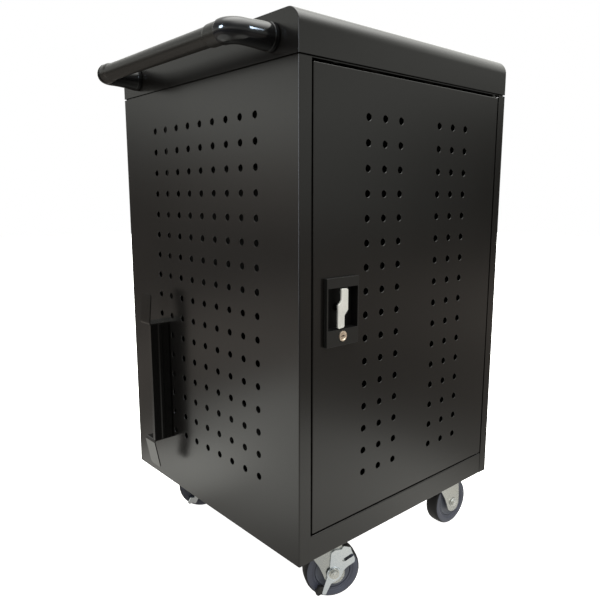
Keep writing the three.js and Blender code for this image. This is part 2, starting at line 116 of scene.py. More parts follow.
# darker, less shiny copy of the bezel black: painted shade for the sunk faces of the latch recess
RECESS_SHADE = material("recess_painted_shade", (0.0030, 0.0030, 0.0029), 0.50, color_var=0.15, fine=900.0, coarse=20.0, rough_var=0.05, bump=0.25, bump_size=0.00006, spec=0.20)
MATTE = material("matt_moulding", (0.0160, 0.0160, 0.0165), 0.58, color_var=0.15, fine=1100.0, coarse=8.0, rough_var=0.06, bump=0.3, bump_size=0.0001)
GRIP = material("grip_sleeve", (0.0105, 0.0104, 0.0092), 0.33, color_var=0.20, fine=600.0, coarse=9.0, rough_var=0.06, bump=0.5, bump_size=0.00025)
ZINC = material("zinc_plate", (0.46, 0.49, 0.53), 0.22, metal=1.0, tint=(0.64, 0.63, 0.57), color_var=0.06, fine=420.0, coarse=26.0, rough_var=0.08, bump=0.12, bump_size=0.0001)
# darker copy of the zinc plating for the caster plate and fork: painted shade, so the brake lever stands out from the
# fork behind it
ZINC_SHADED = material("zinc_painted_shade", (0.40, 0.42, 0.43), 0.27, metal=1.0, tint=(0.47, 0.47, 0.44), color_var=0.04, fine=420.0, coarse=18.0, rough_var=0.05, bump=0.06, bump_size=0.0001)
# lighter, bluish copy of the zinc plating for the brake levers: painted bluish reflection and highlight
ZINC_LIT_BLUE = material("zinc_painted_blue_reflection", (0.58, 0.64, 0.70), 0.20, metal=1.0, tint=(0.68, 0.71, 0.73), color_var=0.03, fine=420.0, coarse=30.0, rough_var=0.06, bump=0.06, bump_size=0.0001)
SATIN = material("satin_casting", (0.90, 0.91, 0.87), 0.36, metal=0.55, tint=(0.98, 0.99, 0.95), color_var=0.05, fine=800.0, coarse=60.0, rough_var=0.07, bump=0.35, bump_size=0.00012)
BRASS = material("lock_face", (0.74, 0.58, 0.44), 0.30, metal=0.9, tint=(0.92, 0.80, 0.66), color_var=0.08, fine=700.0, coarse=140.0, rough_var=0.08, bump=0.25, bump_size=0.0001)
TYRE = material("tyre_side", (0.044, 0.049, 0.072), 0.38, color_var=0.14, tint=(0.054, 0.060, 0.088), fine=600.0, coarse=30.0, rough_var=0.06, bump=0.2, bump_size=0.0001)
TREAD = material("tyre_tread", (0.0065, 0.0065, 0.0075), 0.60, spec=0.30, color_var=0.2, fine=500.0, coarse=30.0, rough_var=0.07, bump=0.35, bump_size=0.0002)
HUB = material("hub_moulding", (0.090, 0.099, 0.128), 0.42, color_var=0.10, fine=700.0, coarse=40.0, rough_var=0.06, bump=0.2, bump_size=0.0001)
RUBBER = material("brake_rubber", (0.0075, 0.0075, 0.0078), 0.62, color_var=0.2, fine=700.0, coarse=40.0, rough_var=0.08, bump=0.45, bump_size=0.0002)
# near-black finish for the keyway slots: painted shade inside the slot
KEYWAY_SHADE = material("keyway_painted_shade", (0.006, 0.005, 0.004), 0.6, color_var=0.2, fine=900.0, coarse=60.0, bump=0.1)


# ------------------------------------------------------------------ mesh tools
def metres(p):
    return ((p[0] + ORIGIN.x) / 1000.0, (p[1] + ORIGIN.y) / 1000.0, (p[2] + ORIGIN.z) / 1000.0)


class Mesh:
    """Vertices and faces in millimetres, from which one object is made."""

    def __init__(self):
        self.verts, self.faces, self.mat = [], [], []

    def add(self, verts, faces, mat=0, matrix=None):
        k = len(self.verts)
        self.verts += [tuple(matrix @ Vector(v)) if matrix else tuple(v) for v in verts]
        self.faces += [[k + i for i in f] for f in faces]
        self.mat += [mat] * len(faces)
        return self

    def merge(self, other, matrix=None, mat=None):
        k = len(self.verts)
        self.verts += [tuple(matrix @ Vector(v)) if matrix else tuple(v) for v in other.verts]
        self.faces += [[k + i for i in f] for f in other.faces]
        self.mat += [mat] * len(other.faces) if mat is not None else other.mat
        return self


def piece(name, mesh, body, replaced, mats, bevel=0.0, seg=3, sharp=38.0, limit=35.0, weights=None):
    me = bpy.data.meshes.new(name)
    me.from_pydata([metres(v) for v in mesh.verts], [], mesh.faces)
    for m in mats:
        me.materials.append(m)
    for p, k in zip(me.polygons, mesh.mat):
        p.material_index = k
    bm = bmesh.new()
    bm.from_mesh(me)
    bmesh.ops.remove_doubles(bm, verts=bm.verts, dist=1.5e-6)
    bmesh.ops.recalc_face_normals(bm, faces=bm.faces)
    if weights:
        layer = bm.edges.layers.float.new("bevel_weight_edge")
        for e in bm.edges:
            if len(e.link_faces) == 2 and e.calc_face_angle(0.0) > math.radians(limit):
                e[layer] = weights(e.verts[0].co * 1000.0 - ORIGIN, e.verts[1].co * 1000.0 - ORIGIN)
    bm.to_mesh(me)
    bm.free()
    for p in me.polygons:
        p.use_smooth = True
    if not bevel:
        me.set_sharp_from_angle(angle=math.radians(sharp))
    o = bpy.data.objects.new(name, me)
    scene.collection.objects.link(o)
    if bevel:
        mod = o.modifiers.new("edge", "BEVEL")
        mod.width = bevel / 1000.0
        mod.segments = seg
        mod.limit_method = "WEIGHT" if weights else "ANGLE"
        mod.angle_limit = math.radians(limit)
        mod.use_clamp_overlap = True
    wn = o.modifiers.new("normals", "WEIGHTED_NORMAL")
    wn.keep_sharp = True
    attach(o, body)
    if replaced:
        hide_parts(*replaced)
    return o


def rounded(points, radius, n=5):
    """Polygon with its corners rounded; radius is one number or one per corner."""
    out, k = [], len(points)
    for i in range(k):
        p0, p1, p2 = (Vector(points[(i + j - 1) % k]) for j in range(3))
        r = radius[i] if isinstance(radius, (list, tuple)) else radius
        a, b = (p0 - p1), (p2 - p1)
        la, lb = a.length, b.length
        a, b = a / la, b / lb
        ang = math.acos(max(-1.0, min(1.0, a.dot(b))))
        if r <= 0 or ang > math.pi - 0.03:
            out.append(tuple(p1))
            continue
        t = min(r / math.tan(ang / 2), 0.48 * la, 0.48 * lb)
        rr = t * math.tan(ang / 2)
        c = p1 + (a + b).normalized() * (rr / math.sin(ang / 2))
        s, e = p1 + a * t - c, p1 + b * t - c
        a0, a1 = math.atan2(s.y, s.x), math.atan2(e.y, e.x)
        d = (a1 - a0 + math.pi) % (2 * math.pi) - math.pi
        for j in range(n + 1):
            q = a0 + d * j / n
            out.append((c.x + rr * math.cos(q), c.y + rr * math.sin(q)))
    return out


def circle(cx, cy, r, n=24, turn=0.0):
    return [(cx + r * math.cos(2 * math.pi * (i + turn) / n), cy + r * math.sin(2 * math.pi * (i + turn) / n)) for i in range(n)]


def oblong(cx, cy, length, width, deg, n=6):
    a, r, h = math.radians(deg), width / 2, (length - width) / 2
    pts = []
    for side, start in ((1, -math.pi / 2), (-1, math.pi / 2)):
        for i in range(n + 1):
            q = start + math.pi * i / n
            pts.append((side * h + r * math.cos(q), r * math.sin(q)))
    return [(cx + x * math.cos(a) - y * math.sin(a), cy + x * math.sin(a) + y * math.cos(a)) for x, y in pts]


def prism(outline, h0, h1, place, holes=(), mat=0):
    """Outline carried from h0 to h1; place(a, b, h) gives the point."""
    m = Mesh()
    loops = [list(outline)] + [list(h) for h in holes]
    flat = [p for l in loops for p in l]
    n = len(flat)
    verts = [place(a, b, h0) for a, b in flat] + [place(a, b, h1) for a, b in flat]
    faces = []
    if holes:
        for tri in tessellate_polygon([[Vector((a, b, 0.0)) for a, b in l] for l in loops]):
            faces.append(list(tri))
            faces.append([n + i for i in reversed(tri)])
    else:
        faces.append(list(range(n)))
        faces.append([n + i for i in reversed(range(n))])
    k = 0
    for l in loops:
        c = len(l)
        for i in range(c):
            j = (i + 1) % c
            faces.append([k + i, n + k + i, n + k + j, k + j])
        k += c
    return m.add(verts, faces, mat)


def on_x(a, b, h):
    return (h, a, b)


def on_y(a, b, h):
    return (a, h, b)


def on_z(a, b, h):
    return (a, b, h)


def lathe(profile, n=48, axis="Y", at=(0.0, 0.0, 0.0), closed=True, mats=None):
    """Profile of (radius, height) turned about an axis; a radius of 0 closes an end."""
    m = Mesh()
    verts, rows = [], []
    for r, h in profile:
        if r < 1e-6:
            rows.append([len(verts)])
            verts.append((0.0, 0.0, h))
        else:
            rows.append(list(range(len(verts), len(verts) + n)))
            verts += [(r * math.cos(2 * math.pi * i / n), r * math.sin(2 * math.pi * i / n), h) for i in range(n)]
    faces, idx = [], []
    pairs = list(zip(rows, rows[1:])) + ([(rows[-1], rows[0])] if closed and len(rows[0]) > 1 and len(rows[-1]) > 1 else [])
    for q, (a, b) in enumerate(pairs):
        for i in range(n):
            j = (i + 1) % n
            if len(a) == 1 and len(b) == 1:
                continue
            if len(a) == 1:
                faces.append([a[0], b[j], b[i]])
            elif len(b) == 1:
                faces.append([a[i], a[j], b[0]])
            else:
                faces.append([a[i], a[j], b[j], b[i]])
            idx.append(mats[q] if mats else 0)
    if axis == "Y":
        verts = [(x, h, y) for x, y, h in verts]
    elif axis == "X":
        verts = [(h, x, y) for x, y, h in verts]
    m.add([(x + at[0], y + at[1], z + at[2]) for x, y, z in verts], faces)
    m.mat = idx
    return m


def box(x0, x1, y0, y1, z0, z1, mat=0):
    return prism([(x0, y0), (x1, y0), (x1, y1), (x0, y1)], z0, z1, on_z, mat=mat)


class Fold:
    """Outline of a folded sheet: straight runs joined by bends, its outer face on the left of the way along."""

    def __init__(self, pts, radii, seg=5):
        pts = [Vector(p) for p in pts]
        self.runs, self.lines = [], [0.0]
        cur, s = pts[0], 0.0
        for i in range(1, len(pts) - 1):
            d0, d1 = (pts[i] - pts[i - 1]).normalized(), (pts[i + 1] - pts[i]).normalized()
            turn = math.atan2(d0.x * d1.y - d0.y * d1.x, d0.dot(d1))
            r = radii[i - 1]
            t = r * math.tan(abs(turn) / 2)
            start = pts[i] - d0 * t
            length = (start - cur).length
            self.runs.append((s, s + length, cur, d0, None, 0.0, 0.0))
            s += length
            self.lines.append(s)
            n0 = Vector((-d0.y, d0.x))
            c = start + n0 * (r if turn > 0 else -r)
            self.runs.append((s, s + r * abs(turn), c, n0, r, turn, 0.0))
            for k in range(1, seg + 1):
                self.lines.append(s + r * abs(turn) * k / seg)
            s += r * abs(turn)
            cur = pts[i] + d1 * t
        d0 = (pts[-1] - cur).normalized()
        self.runs.append((s, s + (pts[-1] - cur).length, cur, d0, None, 0.0, 0.0))
        self.lines.append(self.runs[-1][1])

    def at(self, s):
        for a, b, p, d, r, turn, _ in self.runs:
            if s <= b + 1e-6:
                break
        if r is None:
            return p + d * (s - a), Vector((-d.y, d.x))
        q = turn * (s - a) / (b - a)
        n = Vector((d.x * math.cos(q) - d.y * math.sin(q), d.x * math.sin(q) + d.y * math.cos(q)))
        return p + n * (r if turn < 0 else -r), n


def tiles(s_lines, u_lines, cells=(), cuts=()):
    """Flat pattern of a sheet as polygons. cells are (s0, s1, u0, u1, cs, cu, r) with a round hole, cuts are open rectangles."""
    q = lambda v: round(v, 4)
    s_lines, u_lines = sorted({q(v) for v in s_lines}), sorted({q(v) for v in u_lines})
    polys, holes = [], {}
    blocked = [c[:4] for c in cells] + list(cuts)
    groups = {}
    for s0, s1 in zip(s_lines, s_lines[1:]):
        for u0, u1 in zip(u_lines, u_lines[1:]):
            cs, cu = (s0 + s1) / 2, (u0 + u1) / 2
            if any(b[0] - 1e-3 < cs < b[1] + 1e-3 and b[2] - 1e-3 < cu < b[3] + 1e-3 for b in blocked):
                continue
            polys.append([(s0, u0), (s1, u0), (s1, u1), (s0, u1)])
    n = 24
    for s0, s1, u0, u1, cs, cu, r in cells:
        corner = [(q(s1), q(u1)), (q(s0), q(u1)), (q(s0), q(u0)), (q(s1), q(u0))]
        ring = []
        for i in range(n):
            a = 2 * math.pi * i / n
            key = (q(cs + r * math.cos(a)), q(cu + r * math.sin(a)))
            holes[key] = (cs, cu, math.cos(a), math.sin(a), r)
            ring.append(key)
        for k in range(4):
            i0, i1 = 3 + 6 * k, 3 + 6 * (k + 1)
            polys.append([corner[k], corner[(k + 1) % 4]] + [ring[i % n] for i in range(i1, i0 - 1, -1)])
    by_s, by_u = {}, {}
    for p in polys:
        for s, u in p:
            by_s.setdefault(s, set()).add(u)
            by_u.setdefault(u, set()).add(s)
    by_s = {k: sorted(v) for k, v in by_s.items()}
    by_u = {k: sorted(v) for k, v in by_u.items()}
    out = []
    for p in polys:
        full = []
        for a, b in zip(p, p[1:] + p[:1]):
            full.append(a)
            if a in holes or b in holes:
                continue
            if a[0] == b[0]:
                mid = [(a[0], u) for u in by_s[a[0]] if min(a[1], b[1]) < u < max(a[1], b[1])]
                full += mid if b[1] > a[1] else mid[::-1]
            elif a[1] == b[1]:
                mid = [(s, a[1]) for s in by_u[a[1]] if min(a[0], b[0]) < s < max(a[0], b[0])]
                full += mid if b[0] > a[0] else mid[::-1]
        out.append(full)
    return out, holes


class Shell:
    """One face of a sheet, given thickness when it is turned into a solid."""

    def __init__(self, chamfer=0.45):
        self.p, self.n, self.hole, self.key, self.polys, self.ch = [], [], [], {}, [], chamfer

    def v(self, p, n, hole=None):
        k = (round(p[0], 3), round(p[1], 3), round(p[2], 3))
        if k not in self.key:
            self.key[k] = len(self.p)
            self.p.append(Vector(p))
            self.n.append(Vector(n))
            self.hole.append(hole)
        return self.key[k]

    def poly(self, ids):
        ids = [a for a, b in zip(ids, ids[1:] + ids[:1]) if a != b]
        if len(ids) > 2:
            self.polys.append(ids)

    def solid(self, thick):
        m = Mesh()
        verts, k = [], len(self.p)
        front, back, mid = [], [], {}
        for i in range(k):
            h = self.hole[i]
            front.append(h[0] + h[1] * (h[2] + self.ch) if h else self.p[i])
            back.append(self.p[i] - self.n[i] * thick)
        verts = front + back
        for i in range(k):
            if self.hole[i]:
                mid[i] = len(verts)
                verts.append(self.p[i] - self.n[i] * self.ch)
        edges = {(a, b) for p in self.polys for a, b in zip(p, p[1:] + p[:1])}
        faces = [list(p) for p in self.polys] + [[k + i for i in reversed(p)] for p in self.polys]
        for a, b in edges:
            if (b, a) in edges:
                continue
            if a in mid and b in mid:
                faces.append([b, a, mid[a], mid[b]])
                faces.append([mid[b], mid[a], k + a, k + b])
            else:
                faces.append([b, a, k + a, k + b])
        return m.add([tuple(v) for v in verts], faces)


def folded_sheet(fold, u0, u1, place, cells=(), cuts=(), u_lines=(), s_lines=(), thick=T):
    """Sheet whose cross-section is the fold, carried from u0 to u1; place(a, b, u) gives the point."""
    sl = list(fold.lines) + [v for c in cells for v in c[:2]] + [v for c in cuts for v in c[:2]] + list(s_lines)
    ul = [u0, u1] + [v for c in cells for v in c[2:4]] + [v for c in cuts for v in c[2:4]] + list(u_lines)
    if len(cells) > 20:
        sl = list(fold.lines) + list(s_lines)
        ul = [u0, u1] + list(u_lines)
    polys, holes = tiles(sl, ul, cells, cuts)
    sh = Shell()
    for p in polys:
        ids = []
        for s, u in p:
            (a, b), n = fold.at(s)
            pos, nor = Vector(place(a, b, u)), Vector(place(n.x, n.y, 0.0))
            hole = None
            if (s, u) in holes:
                cs, cu, c, d, r = holes[(s, u)]
                (ca, cb), _ = fold.at(cs)
                centre = Vector(place(ca, cb, cu))
                hole = (centre, (pos - centre).normalized(), r)
            ids.append(sh.v(pos, nor, hole))
        sh.poly(ids)
    return sh.solid(thick)


def sweep(path, radius, n=32):
    """Round bar along points that lie in a level plane; radius is one number or one per point."""
    m = Mesh()
    verts, faces = [], []
    k = len(path)
    for i, p in enumerate(path):
        t = (Vector(path[min(i + 1, k - 1)]) - Vector(path[max(i - 1, 0)])).normalized()
        side = Vector((-t.y, t.x, 0.0))
        r = radius[i] if isinstance(radius, (list, tuple)) else radius
        for j in range(n):
            a = 2 * math.pi * j / n
            verts.append(tuple(Vector(p) + side * (r * math.cos(a)) + Vector((0, 0, r * math.sin(a)))))
    for i in range(k - 1):
        for j in range(n):
            q = (j + 1) % n
            faces.append([i * n + j, i * n + q, (i + 1) * n + q, (i + 1) * n + j])
    faces.append(list(range(n)))
    faces.append([(k - 1) * n + j for j in reversed(range(n))])
    return m.add(verts, faces)


# --------------------------------------------------------------------- cabinet
SIDE_Y = [117.24 + 44.687 * i for i in range(9)]
SIDE_Z = [134.53 + 44.579 * j for j in range(16)]
DOOR_X = [[164.30 + 44.732 * i + g for i in range(3)] for g in (0.0, 207.87)]
DOOR_Z = [133.94 + 44.519 * j for j in range(16)]


def grid_cells(ss, us, ps, pu):
    return [(s - ps / 2, s + ps / 2, u - pu / 2, u + pu / 2, s, u, VENT_R) for s in ss for u in us]


def side_panel(fold, run, columns):
    """Vented side: the vents lie on the long run of the fold."""
    a, b, p, d = fold.runs[run][:4]
    ss = sorted(a + abs(y - p.y) for y in columns)
    cells = grid_cells(ss, SIDE_Z, 44.687, 44.579)
    gaps = [i for i in range(1, len(ss)) if ss[i] - ss[i - 1] > 50.0]
    edge = [ss[i] - 44.687 / 2 for i in [0] + gaps] + [ss[i - 1] + 44.687 / 2 for i in gaps + [len(ss)]]
    return folded_sheet(fold, 0.0, SIDE_H, lambda x, y, z: (x, y, z), cells=cells,
                        s_lines=edge, u_lines=[SIDE_Z[0] - 44.579 / 2, SIDE_Z[-1] + 44.579 / 2])


left = Fold([(STILE_L, RETURN), (STILE_L, 0), (0, 0), (0, D), (STILE_L, D), (STILE_L, D - RETURN)], [2.0, 2.6, 2.6, 2.0])
piece("panel_left", side_panel(left, 4, SIDE_Y), "chassis", ["left_side_panel"], [POWDER])
right = Fold([(W - STILE_R, D), (W, D), (W, 0), (W - STILE_R, 0)], [2.6, 2.6])
# upright strip inside the right panel that closes the seam under the lid
right_panel = side_panel(right, 2, SIDE_Y[:3] + SIDE_Y[6:])
right_panel.merge(box(607.2, 608.3, 30.0, D - 30.0, 868.0, 885.8))
piece("panel_right", right_panel, "chassis", ["right_side_panel"], [POWDER])


def pan_door(name, y0, way, cells, cuts, node, notches):
    """Pressed pan: vented face, rolled edges and flanges. way is the direction from the face into the pan."""
    r, n, nt = 1.8, 4, 4
    x0, x1, z0, z1 = DOOR_X0 + r, DOOR_X1 - r, DOOR_Z0 + r, DOOR_Z1 - r
    big = [c for c in cells if c[6] == VENT_R]
    other = [c for c in cells if c[6] != VENT_R]
    sl, ul = [x0, x1], [z0, z1, big[0][2], big[-1][3]]
    for g in DOOR_X:
        sl += [g[0] - 22.366, g[-1] + 22.366]
    for c in other + list(cuts):
        sl += [c[0], c[1]]
        ul += [c[2], c[3]]
    for nx in notches:
        sl += [nx - 7.0, nx + 7.0]
    polys, holes = tiles(sl, ul, cells, cuts)
    sh = Shell()
    face = Vector((0, -way, 0))
    at = lambda p, nor: sh.v(Vector((p[0], y0 + way * p[1], p[2])), nor)
    edge = {"x0": set(), "x1": set(), "z0": set(), "z1": set()}
    for p in polys:
        ids = []
        for s, u in p:
            hole = None
            if (s, u) in holes:
                cs, cu, c, d, rr = holes[(s, u)]
                hole = (Vector((cs, y0, cu)), Vector((c, 0, d)), rr)
            else:
                if abs(s - x0) < 1e-3: edge["x0"].add(u)
                if abs(s - x1) < 1e-3: edge["x1"].add(u)
                if abs(u - z0) < 1e-3: edge["z0"].add(s)
                if abs(u - z1) < 1e-3: edge["z1"].add(s)
            ids.append(sh.v(Vector((s, y0, u)), face, hole))
        sh.poly(ids)

    def row(k, nor_side):
        """Depth and outward normal of one row round the edge, from the face to the flange's end."""
        if k <= n:
            q = math.pi / 2 * k / n
            return r - r * math.cos(q), nor_side * math.sin(q) + face * math.cos(q), r * math.sin(q)
        return (14.0, DOOR_DEPTH)[k - n - 1], nor_side, r

    def strip(name_, fixed, nor_side, along, flip):
        vals = sorted(along)
        for k in range(n + 2):
            d0, n0, o0 = row(k, nor_side)
            d1, n1, o1 = row(k + 1, nor_side)
            for a, b in zip(vals, vals[1:]):
                if k == n + 1 and name_ in ("z0", "z1") and any(abs((a + b) / 2 - nx) < 7.0 for nx in notches):
                    continue
                if name_[0] == "x":
                    q = [(fixed + nor_side.x * o0, d0, a, n0), (fixed + nor_side.x * o0, d0, b, n0), (fixed + nor_side.x * o1, d1, b, n1), (fixed + nor_side.x * o1, d1, a, n1)]
                else:
                    q = [(a, d0, fixed + nor_side.z * o0, n0), (b, d0, fixed + nor_side.z * o0, n0), (b, d1, fixed + nor_side.z * o1, n1), (a, d1, fixed + nor_side.z * o1, n1)]
                ids = [at(t[:3], t[3]) for t in q]
                sh.poly(ids[::-1] if flip else ids)

    strip("x0", x0, Vector((-1, 0, 0)), edge["x0"], False)
    strip("x1", x1, Vector((1, 0, 0)), edge["x1"], True)
    strip("z0", z0, Vector((0, 0, -1)), edge["z0"], True)
    strip("z1", z1, Vector((0, 0, 1)), edge["z1"], False)
    for cx, cz, sx, sz in ((x0, z0, -1, -1), (x1, z0, 1, -1), (x1, z1, 1, 1), (x0, z1, -1, 1)):
        for k in range(n + 2):
            for j in range(nt):
                q = []
                for kk, jj in ((k, j), (k, j + 1), (k + 1, j + 1), (k + 1, j)):
                    a = math.pi / 2 * jj / nt
                    side = Vector((sx * math.cos(a), 0, sz * math.sin(a)))
                    d_, nn, oo = row(kk, side)
                    q.append(at((cx + side.x * oo, d_, cz + side.z * oo), nn))
                sh.poly(q if sx * sz < 0 else q[::-1])
    return piece(name, sh.solid(T), node, [node], [POWDER])


front_cells = [c for g in DOOR_X for c in grid_cells(g, DOOR_Z, 44.732, 44.519)]
cup_cut = (58.3, 135.7, 428.3, 506.7)
key_cell = (85.8, 108.2, 405.8, 428.2, LATCH_X, KEY_Z, 10.9)
pan_door("door_front", 0.0, 1.0, front_cells + [key_cell], [cup_cut], "front_door", [LATCH_X])
lock_cell = (46.0, 74.0, 453.5, 481.5, 60.0, 467.5, 10.4)
pan_door("door_rear", D, -1.0, front_cells + [lock_cell], [], "rear_door", [])


def lid():
    sh = Shell()
    re, ne, na = 1.9, 5, 16

    def outline(i, a, sx):
        ca, sa = math.cos(a), math.sin(a)
        pts = [(i, LID_Z0, -1.0, 0.0)]
        for k in range(na + 1):
            q = math.pi - math.pi / 2 * k / na
            pts.append((LID_R + (LID_R - i) * math.cos(q), LID_Z1 - LID_R + (LID_R - i) * math.sin(q), math.cos(q), math.sin(q)))
        for k in range(na + 1):
            q = math.pi / 2 - math.pi / 2 * k / na
            pts.append((D - LID_R + (LID_R - i) * math.cos(q), LID_Z1 - LID_R + (LID_R - i) * math.sin(q), math.cos(q), math.sin(q)))
        pts.append((D - i, LID_Z0, 1.0, 0.0))
        return [(y, z, Vector((sx * sa, ny * ca, nz * ca))) for y, z, ny, nz in pts]

    rows = []
    for k in range(ne + 1):
        a = math.pi / 2 * (1 - k / ne)
        rows.append((re * (1 - math.sin(a)), outline(re * (1 - math.cos(a)), a, -1.0)))
    for k in range(ne + 1):
        a = math.pi / 2 * k / ne
        rows.append((W - re * (1 - math.sin(a)), outline(re * (1 - math.cos(a)), a, 1.0)))
    ids = [[sh.v((x, y, z), n) for y, z, n in pts] for x, pts in rows]
    for a, b in zip(ids, ids[1:]):
        for i in range(len(a) - 1):
            sh.poly([a[i], a[i + 1], b[i + 1], b[i]])
    sh.poly(ids[0][::-1])
    sh.poly(ids[-1])
    return sh.solid(T)


piece("lid_shell", lid(), "chassis", ["top_lid"], [POWDER])


def base():
    fold = Fold([(D - 30, 50), (D, 50), (D, 0), (0, 0), (0, 50), (30, 50)], [2.0, 2.0, 2.0, 2.0])
    run = fold.runs
    s_rear_sill, s_rear, s_front_sill = run[0], run[2], run[8]
    srs = lambda y: s_rear_sill[0] + (y - (D - 30))
    sfs = lambda y: s_front_sill[0] + (y - 2.0)
    srr = lambda z: s_rear[0] + (48.0 - z)
    cells = [(sfs(2.2), sfs(13.8), 567.7, 579.3, sfs(8.0), PIVOT_X, 4.8),
             (srs(602.2), srs(613.8), 567.7, 579.3, srs(608.0), PIVOT_X, 4.8),
             (srr(40.0), srr(10.0), 105.0, 135.0, srr(25.0), 120.0, 12.2)]
    cuts = [(sfs(12.5), sfs(24.0), LATCH_X - 12, LATCH_X + 12)]
    m = folded_sheet(fold, 28.7, 582.3, lambda y, z, x: (x, y, z), cells=cells, cuts=cuts)
    m.merge(box(1.8, 28.5, 22.4, D - 22.4, 0.0, 2.0))
    m.merge(box(582.6, 608.2, 1.8, D - 1.8, 0.0, 2.0))
    # dressed weld between the left stile and the rail
    m.merge(box(22.0, 34.0, -0.06, 3.0, 0.4, 49.6))
    return m


piece("base_tray", base(), "chassis", ["base_pan"], [POWDER])


# ---------------------------------------------------------------- cord bracket
def cord_bracket():
    y0, y1, z0, z1, reach = 443.0, 486.0, 115.0, 387.0, 47.0
    m = Mesh()
    # strip of sheet bent over the arms into the two lips
    upper = Fold([(-0.3, z1), (-reach, z1), (-reach + 6, z1 + 66)], [3.0], 6)
    lower = Fold([(-reach + 13, z0 - 66), (-reach, z0), (-0.3, z0)], [3.0], 6)

    def lip(fold, sign):
        total = fold.lines[-1]
        sh = Shell()
        end = total if sign > 0 else 0.0
        rc = 7.0

        def half(s):
            d = abs(end - s)
            return 0.0 if d >= rc else rc - math.sqrt(max(0.0, rc * rc - (rc - d) ** 2))

        lines = sorted(set(fold.lines + [end - sign * rc * (1 - math.cos(math.pi / 2 * k / 6)) for k in range(7)]))
        rows = []
        for s in lines:
            (a, b), n = fold.at(s)
            i = half(s)
            rows.append([sh.v((a, y, b), (n.x, 0.0, n.y)) for y in (y0 + i, y1 - i)])
        for p, q in zip(rows, rows[1:]):
            sh.poly([p[0], q[0], q[1], p[1]])
        return sh.solid(-2.4)

    m.merge(lip(upper, 1))
    m.merge(lip(lower, -1))
    # web between the arms, with a pressed bead along it; it takes a darker, less shiny copy of the coat, painted shade
    # inside the channel
    web = Fold([(-reach + 0.6, y0), (-29.5, y0), (-27.6, y0 - 2.2), (-20.6, y0 - 2.2), (-18.7, y0), (-2.6, y0), (-0.3, y0 + 3.0), (-0.3, y1)],
               [1.0, 1.0, 1.0, 1.0, 1.2, 1.2], 3)
    start = len(m.faces)
    m.merge(folded_sheet(web, z0 + 2.6, z1 - 2.6, lambda a, b, u: (a, b, u), thick=-2.0))
    m.mat[start:] = [1] * (len(m.faces) - start)
    # rolled outer edge of the web
    m.merge(prism(rounded([(-reach, y0), (-reach + 2.4, y0), (-reach + 2.4, y0 + 9), (-reach, y0 + 9)], 0.9, 3), z0 + 2.6, z1 - 2.6, on_z))
    return m


piece("cord_bracket", cord_bracket(), "chassis", ["cord_wrap"], [BRACKET, WEB_SHADE], bevel=0.5, seg=2)


# ----------------------------------------------------------------- push handle
HX, HZ, HB, HR = -80.0, 920.0, 21.5, 20.5
HY0, HY1, GY0, GY1 = 69.0, 547.0, 91.5, 524.5


def elbow(y_foot, way, y_end, thick=HR):
    """Moulded elbow: it swells towards its foot, bends tightly and ends in a rounded rim round the grip."""
    leg = -HX - HB
    path, rad = [], []
    for k in range(17):
        t = k / 16
        path.append((-9.6 - (leg - 9.6) * t, y_foot, HZ))
        rad.append(thick + (23.1 - thick) * (1.0 - t) ** 1.7)
    for k in range(1, 25):
        a = math.pi / 2 * k / 24
        path.append((-leg - HB * math.sin(a), y_foot + way * HB * (1 - math.cos(a)), HZ))
        rad.append(thick)
    last = abs(y_end - y_foot) - HB
    for d, r in [(last - 0.7, thick - 0.15), (last - 0.3, thick - 0.7), (last - 0.1, thick - 1.5), (last, thick - 2.6)]:
        path.append((HX, y_foot + way * (HB + d), HZ))
        rad.append(r)
    m = sweep(path, rad, 64)
    collar = [(0.0, -1.3), (22.6, -1.3), (23.4, -1.7), (23.7, -2.6), (23.7, -8.4), (23.4, -9.2), (22.9, -9.6), (0.0, -9.6)]
    m.merge(lathe(collar, 64, "X", (0.0, y_foot, HZ)))
    m.merge(lathe([(0.0, -0.3), (21.5, -0.3), (21.5, -1.6), (0.0, -1.6)], 48, "X", (0.0, y_foot, HZ)))
    return m


piece("elbow_front", elbow(HY0, 1.0, GY0), "chassis", ["handle_elbow_front"], [GLOSS], sharp=50.0)
piece("elbow_rear", elbow(HY1 - 1.5, -1.0, GY1, 19.2), "chassis", ["handle_elbow_rear"], [GLOSS], sharp=50.0)


def grip():
    """Sleeve over the tube, a little thicker where it meets the elbows."""
    a, b = GY0 + 0.5, GY1 - 0.5
    prof = [(13.6, a + 1.0), (15.0, a), (17.6, a), (18.3, a + 0.4), (18.6, a + 1.6), (18.6, a + 31.0), (18.2, a + 33.6), (17.2, a + 35.2), (16.6, a + 37.0)]
    prof += [(16.5, a + 37.0 + (b - a - 60.0) * k / 8) for k in range(1, 8)]
    prof += [(16.8, b - 27.0), (17.6, b - 23.0), (18.5, b - 19.4), (18.9, b - 16.6), (18.9, b - 1.6), (18.6, b - 0.5), (17.8, b), (15.0, b), (13.6, b - 1.0)]
    return lathe(prof, 64, "Y", (HX, 0.0, HZ))


piece("grip_sleeve", grip(), "chassis", ["handle_grip"], [GRIP], sharp=50.0)


